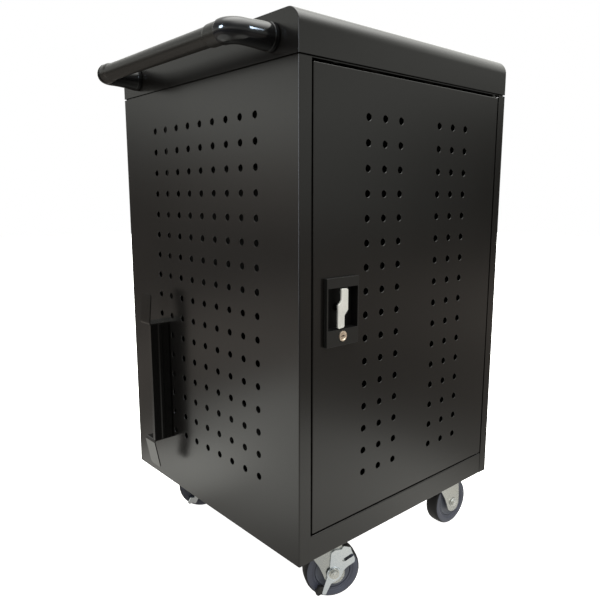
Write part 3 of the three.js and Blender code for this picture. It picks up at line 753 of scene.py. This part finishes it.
# ----------------------------------------------------------------- door latch
def latch_housing():
    xs = [56.8, 58.8, 60.0, 85.5, 108.5, 134.0, 135.2, 137.2]
    zs = [400.0, 405.5, 428.5, 428.8, 430.0, 456.0, 479.0, 505.0, 506.2, 523.0]
    key = (85.5, 108.5, 405.5, 428.5, LATCH_X, KEY_Z, 10.4)
    spin = (85.5, 108.5, 456.0, 479.0, LATCH_X, LATCH_Z, 7.2)
    recess, cup = (60.0, 134.0, 430.0, 505.0), (58.8, 135.2, 428.8, 506.2)
    m = Mesh()

    def plane(y, cells, cuts, inside=None):
        polys, holes = tiles(xs, zs, cells, cuts)
        if inside:
            polys = [p for p in polys if all(inside[0] - 1e-3 <= s <= inside[1] + 1e-3 and inside[2] - 1e-3 <= u <= inside[3] + 1e-3 for s, u in p)]
        for p in polys:
            m.add([(s, y, u) for s, u in p], [list(range(len(p)))])
        edges = {(a, b) for p in polys for a, b in zip(p, p[1:] + p[:1])}
        return [(a, b) for a, b in edges if (b, a) not in edges], holes

    def on(rect, p):
        return (abs(p[0] - rect[0]) < 1e-3 or abs(p[0] - rect[1]) < 1e-3) and rect[2] - 1e-3 <= p[1] <= rect[3] + 1e-3 or \
               (abs(p[1] - rect[2]) < 1e-3 or abs(p[1] - rect[3]) < 1e-3) and rect[0] - 1e-3 <= p[0] <= rect[1] + 1e-3

    def wall(a, b, ya, yb):
        m.add([(a[0], ya, a[1]), (b[0], ya, b[1]), (b[0], yb, b[1]), (a[0], yb, a[1])], [[0, 1, 2, 3]])

    rim, holes = plane(BEZEL_Y, [key], [recess])
    for a, b in rim:
        if a in holes:
            wall(a, b, BEZEL_Y, -0.3)
        elif on(recess, a) and on(recess, b):
            wall(a, b, BEZEL_Y, 10.0)
        else:
            wall(a, b, BEZEL_Y, -0.3)
    rim, holes = plane(10.0, [spin], [], recess)
    for a, b in rim:
        if a in holes:
            wall(a, b, 10.0, 12.0)
    plane(-0.3, [key], [cup])
    rim, holes = plane(12.0, [spin], [], cup)
    for a, b in rim:
        if a not in holes:
            wall(a, b, 12.0, -0.3)
    # the sunk faces get a darker, duller black: painted shade in the recess
    for i, f in enumerate(m.faces):
        if sum(m.verts[j][1] for j in f) / len(f) > -1.0 + 0.5:
            m.mat[i] = 1
    return m


def bezel_weight(a, b):
    if abs(a.y - b.y) > 4.0 and abs(a.x - LATCH_X) > 38.0 and (abs(a.z - 400) < 1 or abs(a.z - 523) < 1):
        return 1.0
    return 0.32


piece("latch_housing", latch_housing(), "front_door", ["latch_cup"], [SATIN_BLACK, RECESS_SHADE], bevel=3.2, seg=3, weights=bezel_weight)

LEVER = [(-5.6, 34.4), (-3.0, 35.6), (8.6, 34.8), (11.6, 32.6), (11.6, -3.5), (9.6, -6.2), (4.8, -11.0), (2.8, -14.0),
         (2.8, -33.0), (-0.2, -35.2), (-10.5, -36.0), (-13.4, -33.8), (-13.4, 5.2), (-12.0, 7.2), (-8.0, 10.6), (-5.6, 15.0)]


def lever():
    out = rounded([(LATCH_X + x, LATCH_Z + z) for x, z in LEVER], 1.2, 3)
    m = prism(out, BEZEL_Y - 0.8, BEZEL_Y + 2.8, on_y)
    # boss and shaft behind the lever in the darker recess black, painted shade
    m.merge(lathe([(0.0, -5.8), (8.4, -5.8), (9.0, -5.2), (9.0, 1.0), (6.0, 2.0), (6.0, 14.4), (5.4, 15.0), (0.0, 15.0)], 32, "Y", (LATCH_X, 0.0, LATCH_Z)), mat=1)
    return m


piece("turn_lever", lever(), "latch", ["latch_lever"], [SATIN, RECESS_SHADE], bevel=0.9, seg=3)


def lock_face(x, z, y_face, y_back, r, way, ring_r):
    """Round lock: rim, slightly sunk plug and a cut keyway. way is the direction from the face into the lock."""
    m = Mesh()
    prof = [(ring_r, y_face + way * 0.7), (ring_r + 0.5, y_face + way * 0.1), (r - 1.0, y_face), (r - 0.25, y_face + way * 0.3), (r, y_face + way * 1.1), (r, y_back), (0.0, y_back)]
    m.merge(lathe(prof, 40, "Y", (x, 0.0, z)))
    y = y_face + way * 0.7
    ring = circle(x, z, ring_r, 40)
    hw, hh, nib = 4.4, 0.75, 1.5
    slot = [(x + hw, z + hh), (x + nib, z + hh), (x + nib, z + hh + 1.0), (x - nib, z + hh + 1.0), (x - nib, z + hh), (x - hw, z + hh), (x - hw, z - hh), (x + hw, z - hh)]
    loops = [ring, slot]
    flat = ring + slot
    faces = [list(t) for t in tessellate_polygon([[Vector((a, b, 0)) for a, b in l] for l in loops])]
    m.add([(a, y, b) for a, b in flat], faces)
    k = len(slot)
    # the keyway's walls and floor take the second, near-black finish: painted shade in the slot
    m.add([(a, y, b) for a, b in slot] + [(a, y + way * 4.0, b) for a, b in slot],
          [[i, (i + 1) % k, k + (i + 1) % k, k + i] for i in range(k)] + [[k + i for i in range(k)]], mat=1)
    return m


key = lock_face(LATCH_X, KEY_Z, BEZEL_Y - 1.2, 14.0, 9.5, 1.0, 6.6)
key.merge(box(LATCH_X - 4, LATCH_X + 4, 13.6, 16.0, KEY_Z - 26, KEY_Z + 5))
piece("key_lock", key, "key", ["key_cylinder"], [BRASS, KEYWAY_SHADE], sharp=40.0)

rear = lock_face(60.0, 467.5, D + 5.0, D - 27.0, 9.4, -1.0, 6.6)
rear.merge(lathe([(9.45, D + 4.2), (12.0, D + 4.0), (12.9, D + 3.0), (13.0, D + 0.4), (9.45, D + 0.4)], 40, "Y", (60.0, 0.0, 467.5)))
rear.merge(prism(rounded([(53.0, 427.5), (67.0, 427.5), (67.0, 474.5), (53.0, 474.5)], 5.0), D - 28.0, D - 25.0, on_y))
piece("rear_key_lock", rear, "rear_lock", ["rear_lock"], [SATIN, KEYWAY_SHADE], sharp=40.0)

piece("inlet_grommet", lathe([(7.0, D - 9.0), (7.6, D - 10.0), (10.8, D - 10.0), (11.5, D - 9.2), (11.5, D + 0.4), (15.4, D + 0.4), (16.0, D + 1.0), (15.6, D + 3.0),
                              (14.0, D + 3.9), (9.4, D + 4.0), (7.8, D + 3.2), (7.0, D + 1.6)], 48, "Y", (120.0, 0.0, 25.0)), "chassis", ["cable_grommet"], [MATTE], sharp=50.0)


# --------------------------------------------------------------------- casters
def hexagon(r):
    return circle(0.0, 0.0, r, 6, 0.5)


def hex_nut(h0, h1, r, place_axis):
    """Plain hexagonal prism between two heights along an axis."""
    lo, hi = min(h0, h1), max(h0, h1)
    return prism(hexagon(r), lo, hi, place_axis)


BRAKE = [(-9, 8), (-7.5, 26), (-6, 45), (1, 50), (16, 50), (19, 57), (34, 52.5), (36, 45), (43, 27.5), (43, 20),
         (28.5, 12), (20, 5), (16, -7), (8, -15), (-1, -19), (-6, -21), (-17.2, -44.0), (-25.6, -40.5), (-20.6, -26), (-15.5, -11)]
TIP = [(-20.7, -25.4), (-23.7, -35.0), (-24.5, -40.0), (-33.0, -43.0), (-38.0, -38.5), (-30.5, -24.5)]
LEG = [(-25, -9), (44, -9), (50, -30), (53, -62), (53, -86), (46, -98), (34, -101.5), (22, -99), (13, -92), (8, -78), (1, -62), (-9, -46), (-25, -24)]


def caster(tag, x, y, turn, braked):
    base_m = Matrix.Translation((x, y, -0.3))
    mat = base_m @ Matrix.Rotation(math.radians(turn), 4, "Z")
    # top plate with slotted bolt holes, raceway and king pin
    m = Mesh()
    plate = rounded([(-47.5, -33), (47.5, -33), (47.5, 33), (-47.5, 33)], 7.0, 5)
    slots = [oblong(sx * 37.5, sy * 23.5, 13.0, 8.4, 0.0 if sx * sy > 0 else 0.0) for sx in (-1, 1) for sy in (-1, 1)]
    m.merge(prism(plate, -3.0, 0.0, on_z, slots))
    for sx in (-1, 1):
        for sy in (-1, 1):
            m.merge(lathe([(0.0, -3.1), (7.6, -3.1), (7.6, -4.4), (4.2, -4.5), (4.2, -8.3), (3.7, -8.7), (0.0, -8.7)], 24, "Z", (sx * 37.5, sy * 23.5, 0.0)))
            m.merge(prism([(a + sx * 37.5, b + sy * 23.5) for a, b in hexagon(6.6)], -7.8, -4.5, on_z))
    m.merge(lathe([(0.0, -2.9), (26.0, -2.9), (27.2, -4.0), (27.4, -5.4), (26.6, -7.0), (24.6, -8.0), (6.0, -8.0), (6.0, -16.4), (8.4, -16.4), (9.0, -16.9), (9.0, -18.4), (8.2, -19.0), (0.0, -19.0)], 40, "Z"))
    # the plate takes the darker zinc copy, painted shade
    full = Mesh().merge(m, base_m)
    piece("plate_" + tag, full, "chassis", ["caster_plate_" + tag], [ZINC_SHADED], bevel=0.6, seg=2, limit=40.0)

    # stamped fork: crown, two legs with a pressed rib
    m = Mesh()
    m.merge(lathe([(7.0, -15.4), (8.0, -16.0), (24.0, -16.0), (28.6, -15.0), (30.4, -12.6), (30.0, -9.4), (28.8, -8.5), (7.0, -8.5)], 48, "Z"))
    leg = rounded(LEG, [4, 6, 14, 20, 10, 10, 10, 10, 10, 18, 24, 20, 10], 5)
    eye = circle(TRAIL, AXLE_Z, 5.6, 20)
    m.merge(prism(leg, 18.5, 22.0, on_y, [eye]))
    m.merge(prism(leg, -22.0, -18.5, on_y, [eye]))
    m.merge(prism([(a, b) for a, b in [(-21, -21.9), (40, -21.9), (40, 21.9), (-21, 21.9)]], -12.6, -9.1, on_z))
    for s in (-1, 1):
        rib = oblong(14.0, -46.0, 50.0, 8.0, -58.0, 8)
        m.merge(prism(rib, s * 21.6, s * 22.3, on_y))
    # the fork takes the darker zinc copy, painted shade behind the brake lever
    full = Mesh().merge(m, mat)
    piece("fork_" + tag, full, "fork_" + tag, ["caster_fork_" + tag], [ZINC_SHADED], bevel=1.0, seg=3, limit=40.0)

    # axle: bolt, washers, hexagon head and nut
    out = -26.0 if braked else -22.4
    m = Mesh()
    m.merge(lathe([(0.0, out - 1.4), (5.0, out - 1.4), (5.0, 23.0), (0.0, 23.0)], 24, "Y", (TRAIL, 0.0, AXLE_Z)))
    m.merge(lathe([(5.2, out - 1.5), (10.4, out - 1.5), (10.8, out - 1.1), (10.8, out), (5.2, out)], 32, "Y", (TRAIL, 0.0, AXLE_Z)))
    m.merge(prism([(a + TRAIL, b + AXLE_Z) for a, b in hexagon(8.9)], out - 6.0, out - 1.5, on_y))
    m.merge(lathe([(0.0, out - 7.4), (4.2, out - 7.4), (4.9, out - 6.9), (4.9, out - 5.8), (0.0, out - 5.8)], 24, "Y", (TRAIL, 0.0, AXLE_Z)))
    m.merge(lathe([(5.2, 22.4), (10.8, 22.4), (10.8, 23.6), (10.4, 24.0), (5.2, 24.0)], 32, "Y", (TRAIL, 0.0, AXLE_Z)))
    m.merge(prism([(a + TRAIL, b + AXLE_Z) for a, b in hexagon(8.9)], 24.0, 28.0, on_y))
    full = Mesh().merge(m, mat)
    piece("axle_" + tag, full, "fork_" + tag, ["caster_axle_" + tag], [ZINC], bevel=0.6, seg=2, limit=40.0)

    # hub and tyre
    hub = [(5.7, -16.4), (6.3, -17.0), (12.4, -17.0), (13.6, -16.0), (14.2, -13.0), (16.0, -11.4), (19.0, -11.0), (29.0, -11.0), (31.4, -11.8), (33.2, -13.2), (35.4, -13.6), (36.2, -12.8)]
    hub = hub + [(r, -h) for r, h in reversed(hub)]
    piece("hub_" + tag, Mesh().merge(lathe(hub, 48, "Y", (TRAIL, 0.0, AXLE_Z)), mat), "wheel_" + tag, ["caster_hub_" + tag], [HUB], sharp=50.0)
    half = [(57.15, 0.0), (57.1, 6.0), (56.8, 9.8), (56.0, 12.8), (54.8, 14.7), (53.3, 15.8), (51.4, 16.4), (48.8, 16.5), (44.6, 16.2), (42.6, 15.6), (41.6, 14.6), (40.8, 13.9), (39.6, 14.2), (38.0, 14.6), (37.0, 14.0), (36.4, 12.0)]
    prof = [(r, -h) for r, h in reversed(half[1:])] + half
    k = len(half) - 1
    mats = []
    for q in range(len(prof)):
        a, b = prof[q], prof[(q + 1) % len(prof)]
        mats.append(1 if min(a[0], b[0]) > 53.0 else 0)
    piece("tyre_" + tag, Mesh().merge(lathe(prof, 72, "Y", (TRAIL, 0.0, AXLE_Z), mats=mats), mat), "wheel_" + tag, ["caster_tyre_" + tag], [TYRE, TREAD], sharp=60.0)

    if braked:
        put = lambda l: [(TRAIL + a, AXLE_Z + b) for a, b in l]
        outline = rounded(put(BRAKE), [10, 12, 5, 4, 6, 3, 3, 6, 5, 4, 10, 8, 8, 8, 6, 8, 3, 4, 12, 14], 4)
        m = prism(outline, -25.6, -22.6, on_y, [circle(TRAIL, AXLE_Z, 5.9, 20), put(oblong(28.5, 31.0, 25.0, 7.0, 28.0))])
        m.merge(lathe([(6.0, -25.5), (6.0, -26.0), (11.2, -26.0), (13.4, -27.0), (14.6, -27.0), (15.0, -26.4), (15.0, -25.5)], 40, "Y", (TRAIL, 0.0, AXLE_Z)))
        full = Mesh().merge(m, mat)
        # the brake lever takes the lighter bluish zinc copy, painted reflection
        piece("brake_" + tag, full, "brake_" + tag, ["brake_lever_" + tag], [ZINC_LIT_BLUE], bevel=0.9, seg=3, limit=40.0)
        tip = rounded(put(TIP), 2.5, 4)
        full = Mesh().merge(prism(tip, -28.0, -17.5, on_y), mat)
        piece("brake_shoe_" + tag, full, "brake_" + tag, ["brake_tip_" + tag], [RUBBER if tag == "fl" else ZINC_LIT_BLUE], bevel=1.6, seg=3)


for tag, args in CASTERS.items():
    caster(tag, *args)


# ------------------------------------------------- pieces kept from the CAD model
KEPT = {
    "top_deck": POWDER, "mid_shelf": POWDER, "partition_panel": POWDER, "adapter_tray_lower": POWDER, "adapter_tray_upper": POWDER,
    "lower_divider_rack": MATTE, "upper_divider_rack": MATTE, "power_strip_left": MATTE, "power_strip_right": MATTE,
    "power_switch_left": GLOSS, "power_switch_right": GLOSS, "handle_tube": ZINC,
    "front_hinge_pin_upper": BRACKET, "front_hinge_pin_lower": BRACKET, "rear_hinge_pin_upper": BRACKET, "rear_hinge_pin_lower": BRACKET,
    "latch_cam": ZINC, "lock_rod_upper": ZINC, "lock_rod_lower": ZINC,
}
for name, look in KEPT.items():
    o = nodes[name]
    o.data.materials.clear()
    o.data.materials.append(look)
    for p in o.data.polygons:
        p.material_index = 0
        p.use_smooth = True
    o.modifiers.new("join", "WELD").merge_threshold = 1e-6
    mod = o.modifiers.new("edge", "BEVEL")
    mod.width = 0.0004
    mod.segments = 2
    mod.limit_method = "ANGLE"
    mod.angle_limit = math.radians(40)
    o.modifiers.new("normals", "WEIGHTED_NORMAL").keep_sharp = True


# --------------------------------------------------------------- stage and light
def floor():
    """Pale floor, white to the camera; to other rays it glows in painted pools of light, brightest round the cart, with
    a painted shadow close under it.
    """
    me = bpy.data.meshes.new("studio_floor")
    s = 12.0
    me.from_pydata([(-s, -s, 0), (s, -s, 0), (s, s, 0), (-s, s, 0)], [], [[0, 1, 2, 3]])
    m = bpy.data.materials.new("studio_floor")
    m.use_nodes = True
    nt = m.node_tree
    b = nt.nodes["Principled BSDF"]
    b.inputs["Base Color"].default_value = (0.80, 0.80, 0.80, 1.0)
    b.inputs["Roughness"].default_value = 0.95
    b.inputs["Specular IOR Level"].default_value = 0.0
    b.inputs["Emission Color"].default_value = (1.0, 1.0, 1.0, 1.0)
    b.inputs["Emission Strength"].default_value = 1.0
    geo = nt.nodes.new("ShaderNodeNewGeometry")
    def reach(centre, lo, hi, start, end):
        dist = nt.nodes.new("ShaderNodeVectorMath")
        dist.operation = "DISTANCE"
        dist.inputs[1].default_value = centre
        nt.links.new(geo.outputs["Position"], dist.inputs[0])
        rng = nt.nodes.new("ShaderNodeMapRange")
        rng.inputs["From Min"].default_value, rng.inputs["From Max"].default_value = lo, hi
        rng.inputs["To Min"].default_value, rng.inputs["To Max"].default_value = start, end
        nt.links.new(dist.outputs["Value"], rng.inputs["Value"])
        return rng.outputs["Result"]

    total = None
    for centre, table in PAINTED_POOLS:
        ramp = nt.nodes.new("ShaderNodeValToRGB")
        stops(ramp, table, 5.0, 2.0)
        nt.links.new(reach(centre, 0.0, 5.0, 0.0, 1.0), ramp.inputs["Fac"])
        if total is None:
            total = ramp.outputs["Color"]
            continue
        add = nt.nodes.new("ShaderNodeVectorMath")
        add.operation = "ADD"
        nt.links.new(total, add.inputs[0])
        nt.links.new(ramp.outputs["Color"], add.inputs[1])
        total = add.outputs["Vector"]
    glow = nt.nodes.new("ShaderNodeEmission")
    nt.links.new(total, glow.inputs["Color"])
    # painted shadow: the glow is weaker close under the cart
    nt.links.new(reach((-0.12, -0.30, 0.0), 0.20, 0.46, 1.3, 2.0), glow.inputs["Strength"])
    path = nt.nodes.new("ShaderNodeLightPath")
    mix = nt.nodes.new("ShaderNodeMixShader")
    nt.links.new(path.outputs["Is Camera Ray"], mix.inputs["Fac"])
    nt.links.new(glow.outputs["Emission"], mix.inputs[1])
    nt.links.new(b.outputs["BSDF"], mix.inputs[2])
    nt.links.new(mix.outputs["Shader"], nt.nodes["Material Output"].inputs["Surface"])
    me.materials.append(m)
    o = bpy.data.objects.new("studio_floor", me)
    scene.collection.objects.link(o)


def stops(ramp, table, span, top):
    """Set a ramp from (place, value, tint) rows; places run to span and values to top."""
    e = ramp.color_ramp.elements
    while len(e) > 1:
        e.remove(e[-1])
    for i, (at, value, tint) in enumerate(table):
        k = e[0] if i == 0 else e.new(at / span)
        k.position = at / span
        k.color = (*[value / top * c for c in tint], 1.0)


WARM, NEUTRAL, COOL = (1.0, 0.90, 0.80), (0.99, 1.0, 0.94), (1.0, 1.0, 0.96)
# painted pools of light glowing on the floor: centre, then brightness by distance from it, metres
PAINTED_POOLS = [
    ((0.0, -0.75, 0.0), [(0.0, 0.92, NEUTRAL), (0.46, 0.92, NEUTRAL), (0.72, 0.24, NEUTRAL), (1.1, 0.03, NEUTRAL), (2.0, 0.0, NEUTRAL)]),
    ((-1.15, 0.25, 0.0), [(0.0, 1.25, NEUTRAL), (0.52, 1.20, NEUTRAL), (0.62, 0.88, NEUTRAL), (0.76, 0.34, NEUTRAL), (0.9, 0.12, WARM), (1.3, 0.15, WARM), (2.0, 0.0, WARM)]),
    ((-0.45, 0.46, 0.0), [(0.0, 0.90, NEUTRAL), (0.14, 0.70, NEUTRAL), (0.25, 0.05, NEUTRAL), (0.45, 0.0, NEUTRAL)]),
    ((-3.0, 1.5, 0.0), [(0.0, 0.42, WARM), (1.3, 0.42, WARM), (1.6, 0.30, WARM), (2.0, 0.06, WARM), (2.4, 0.0, WARM)]),
    ((3.0, -3.0, 0.0), [(0.0, 0.24, WARM), (1.6, 0.24, WARM), (2.2, 0.12, WARM), (2.8, 0.08, WARM), (4.0, 0.0, WARM)]),
    ((0.0, 0.0, 0.0), [(0.0, 0.14, WARM), (5.0, 0.14, WARM)]),
]
# brightness of the room by the sine of the height above the horizon, for each side
ROOM = {
    "left": [(0.0, 0.44, WARM), (0.04, 0.64, WARM), (0.10, 1.15, NEUTRAL), (0.150, 2.05, NEUTRAL), (0.20, 0.55, NEUTRAL), (0.27, 1.05, NEUTRAL), (0.36, 0.42, NEUTRAL), (0.643, 0.36, COOL), (0.85, 1.6, COOL), (1.0, 8.0, COOL)],
    "corner": [(0.0, 0.06, WARM), (0.03, 0.07, WARM), (0.07, 0.10, NEUTRAL), (0.11, 0.18, NEUTRAL), (0.143, 0.38, NEUTRAL), (0.25, 0.45, NEUTRAL), (0.643, 0.8, COOL), (0.85, 2.5, COOL), (1.0, 8.0, COOL)],
    "front": [(0.0, 0.60, NEUTRAL), (0.04, 0.62, NEUTRAL), (0.10, 0.66, NEUTRAL), (0.15, 1.0, NEUTRAL), (0.206, 0.60, NEUTRAL), (0.27, 0.60, NEUTRAL), (0.375, 0.52, NEUTRAL), (0.5, 0.65, NEUTRAL), (0.643, 1.6, COOL), (0.757, 3.6, COOL), (1.0, 8.0, COOL)],
    "right": [(0.0, 0.02, WARM), (0.03, 0.03, WARM), (0.10, 0.06, WARM), (0.14, 0.22, NEUTRAL), (0.17, 0.45, NEUTRAL), (0.25, 0.60, NEUTRAL), (0.354, 1.4, NEUTRAL), (0.5, 1.8, NEUTRAL), (0.643, 2.2, COOL), (0.757, 4.0, COOL), (1.0, 8.0, COOL)],
    "back": [(0.0, 0.50, NEUTRAL), (0.087, 1.6, NEUTRAL), (0.156, 2.4, NEUTRAL), (0.3, 2.2, NEUTRAL), (0.45, 1.2, COOL), (0.658, 2.0, COOL), (0.85, 3.0, COOL), (1.0, 8.0, COOL)],
}
floor()

world = bpy.data.worlds.new("studio")
world.use_nodes = True
scene.world = world
wn = world.node_tree
bg = wn.nodes["Background"]
bg.inputs["Strength"].default_value = 10.0
co = wn.nodes.new("ShaderNodeTexCoord")
axes = wn.nodes.new("ShaderNodeSeparateXYZ")
wn.links.new(co.outputs["Generated"], axes.inputs["Vector"])


def toward(direction, lo, hi):
    """How far a direction of the room points towards one side, from 0 to 1."""
    dot = wn.nodes.new("ShaderNodeVectorMath")
    dot.operation = "DOT_PRODUCT"
    dot.inputs[1].default_value = direction
    wn.links.new(co.outputs["Generated"], dot.inputs[0])
    rng = wn.nodes.new("ShaderNodeMapRange")
    rng.interpolation_type = "SMOOTHSTEP"
    rng.inputs["From Min"].default_value, rng.inputs["From Max"].default_value = lo, hi
    wn.links.new(dot.outputs["Value"], rng.inputs["Value"])
    return rng.outputs["Result"]


def room(side):
    ramp = wn.nodes.new("ShaderNodeValToRGB")
    stops(ramp, ROOM[side], 1.0, 10.0)
    wn.links.new(axes.outputs["Z"], ramp.inputs["Fac"])
    return ramp.outputs["Color"]


def blend(a, b, fac):
    mix = wn.nodes.new("ShaderNodeMix")
    mix.data_type = "RGBA"
    wn.links.new(fac, mix.inputs[0])
    wn.links.new(a, mix.inputs[6])
    wn.links.new(b, mix.inputs[7])
    return mix.outputs[2]


light = blend(room("left"), room("front"), toward((0.66, -0.75, 0.0), -0.35, 0.55))
light = blend(light, room("right"), toward((1.0, 0.0, 0.0), 0.68, 0.88))
light = blend(light, room("corner"), toward((0.3, 0.95, 0.0), 0.57, 0.74))
light = blend(light, room("back"), toward((0.66, 0.75, 0.0), 0.62, 0.90))
wn.links.new(light, bg.inputs["Color"])
plain = wn.nodes.new("ShaderNodeBackground")
plain.inputs["Color"].default_value = (1.0, 1.0, 1.0, 1.0)
plain.inputs["Strength"].default_value = 1.0
path = wn.nodes.new("ShaderNodeLightPath")
pick = wn.nodes.new("ShaderNodeMixShader")
wn.links.new(path.outputs["Is Camera Ray"], pick.inputs["Fac"])
wn.links.new(bg.outputs["Background"], pick.inputs[1])
wn.links.new(plain.outputs["Background"], pick.inputs[2])
wn.links.new(pick.outputs["Shader"], wn.nodes["World Output"].inputs["Surface"])


def lamp(name, direction, radiance, wide, tall, tint, lit):
    """Studio lamp three metres from the handle's front elbow, which lights only the pieces named."""
    target = Vector(metres((-60.0, 70.0, 930.0)))
    d = bpy.data.lights.new(name, "AREA")
    d.shape = "ELLIPSE"
    d.size, d.size_y = wide, tall
    d.energy = radiance * math.pi * math.pi * wide * tall / 4
    d.color = tint
    o = bpy.data.objects.new(name, d)
    way = Vector(direction).normalized()
    o.location = target + way * 3.0
    o.rotation_euler = way.to_track_quat("Z", "Y").to_euler()
    scene.collection.objects.link(o)
    group = bpy.data.collections.new(name)
    for piece_name in lit:
        group.objects.link(bpy.data.objects[piece_name])
    o.light_linking.receiver_collection = group


ELBOWS = ["elbow_front", "elbow_rear"]
lamp("lamp_left", (-0.943, 0.12, 0.33), 60.0, 0.9, 1.0, (0.66, 0.82, 1.0), ELBOWS)
lamp("lamp_right", (0.62, -0.70, 0.35), 60.0, 0.6, 0.9, (0.66, 0.82, 1.0), ELBOWS)
lamp("strip_left", (-0.98, 0.125, 0.05), 7.0, 0.9, 3.2, (0.80, 0.86, 1.0), ["panel_left", "lid_shell"])

scene.view_settings.view_transform = "Standard"
scene.view_settings.look = "None"

cam_data = bpy.data.cameras.new("camera")
cam_data.sensor_fit = "HORIZONTAL"
cam_data.sensor_width = 36.0
cam_data.lens = 36.0843
cam_data.clip_end = 50.0
cam = bpy.data.objects.new("camera", cam_data)
cam.location = (-0.909617, -1.052209, 0.793879)
cam.rotation_euler = (math.pi / 2 - 0.1669503, 0.0, -0.7213096)
scene.collection.objects.link(cam)
scene.camera = cam
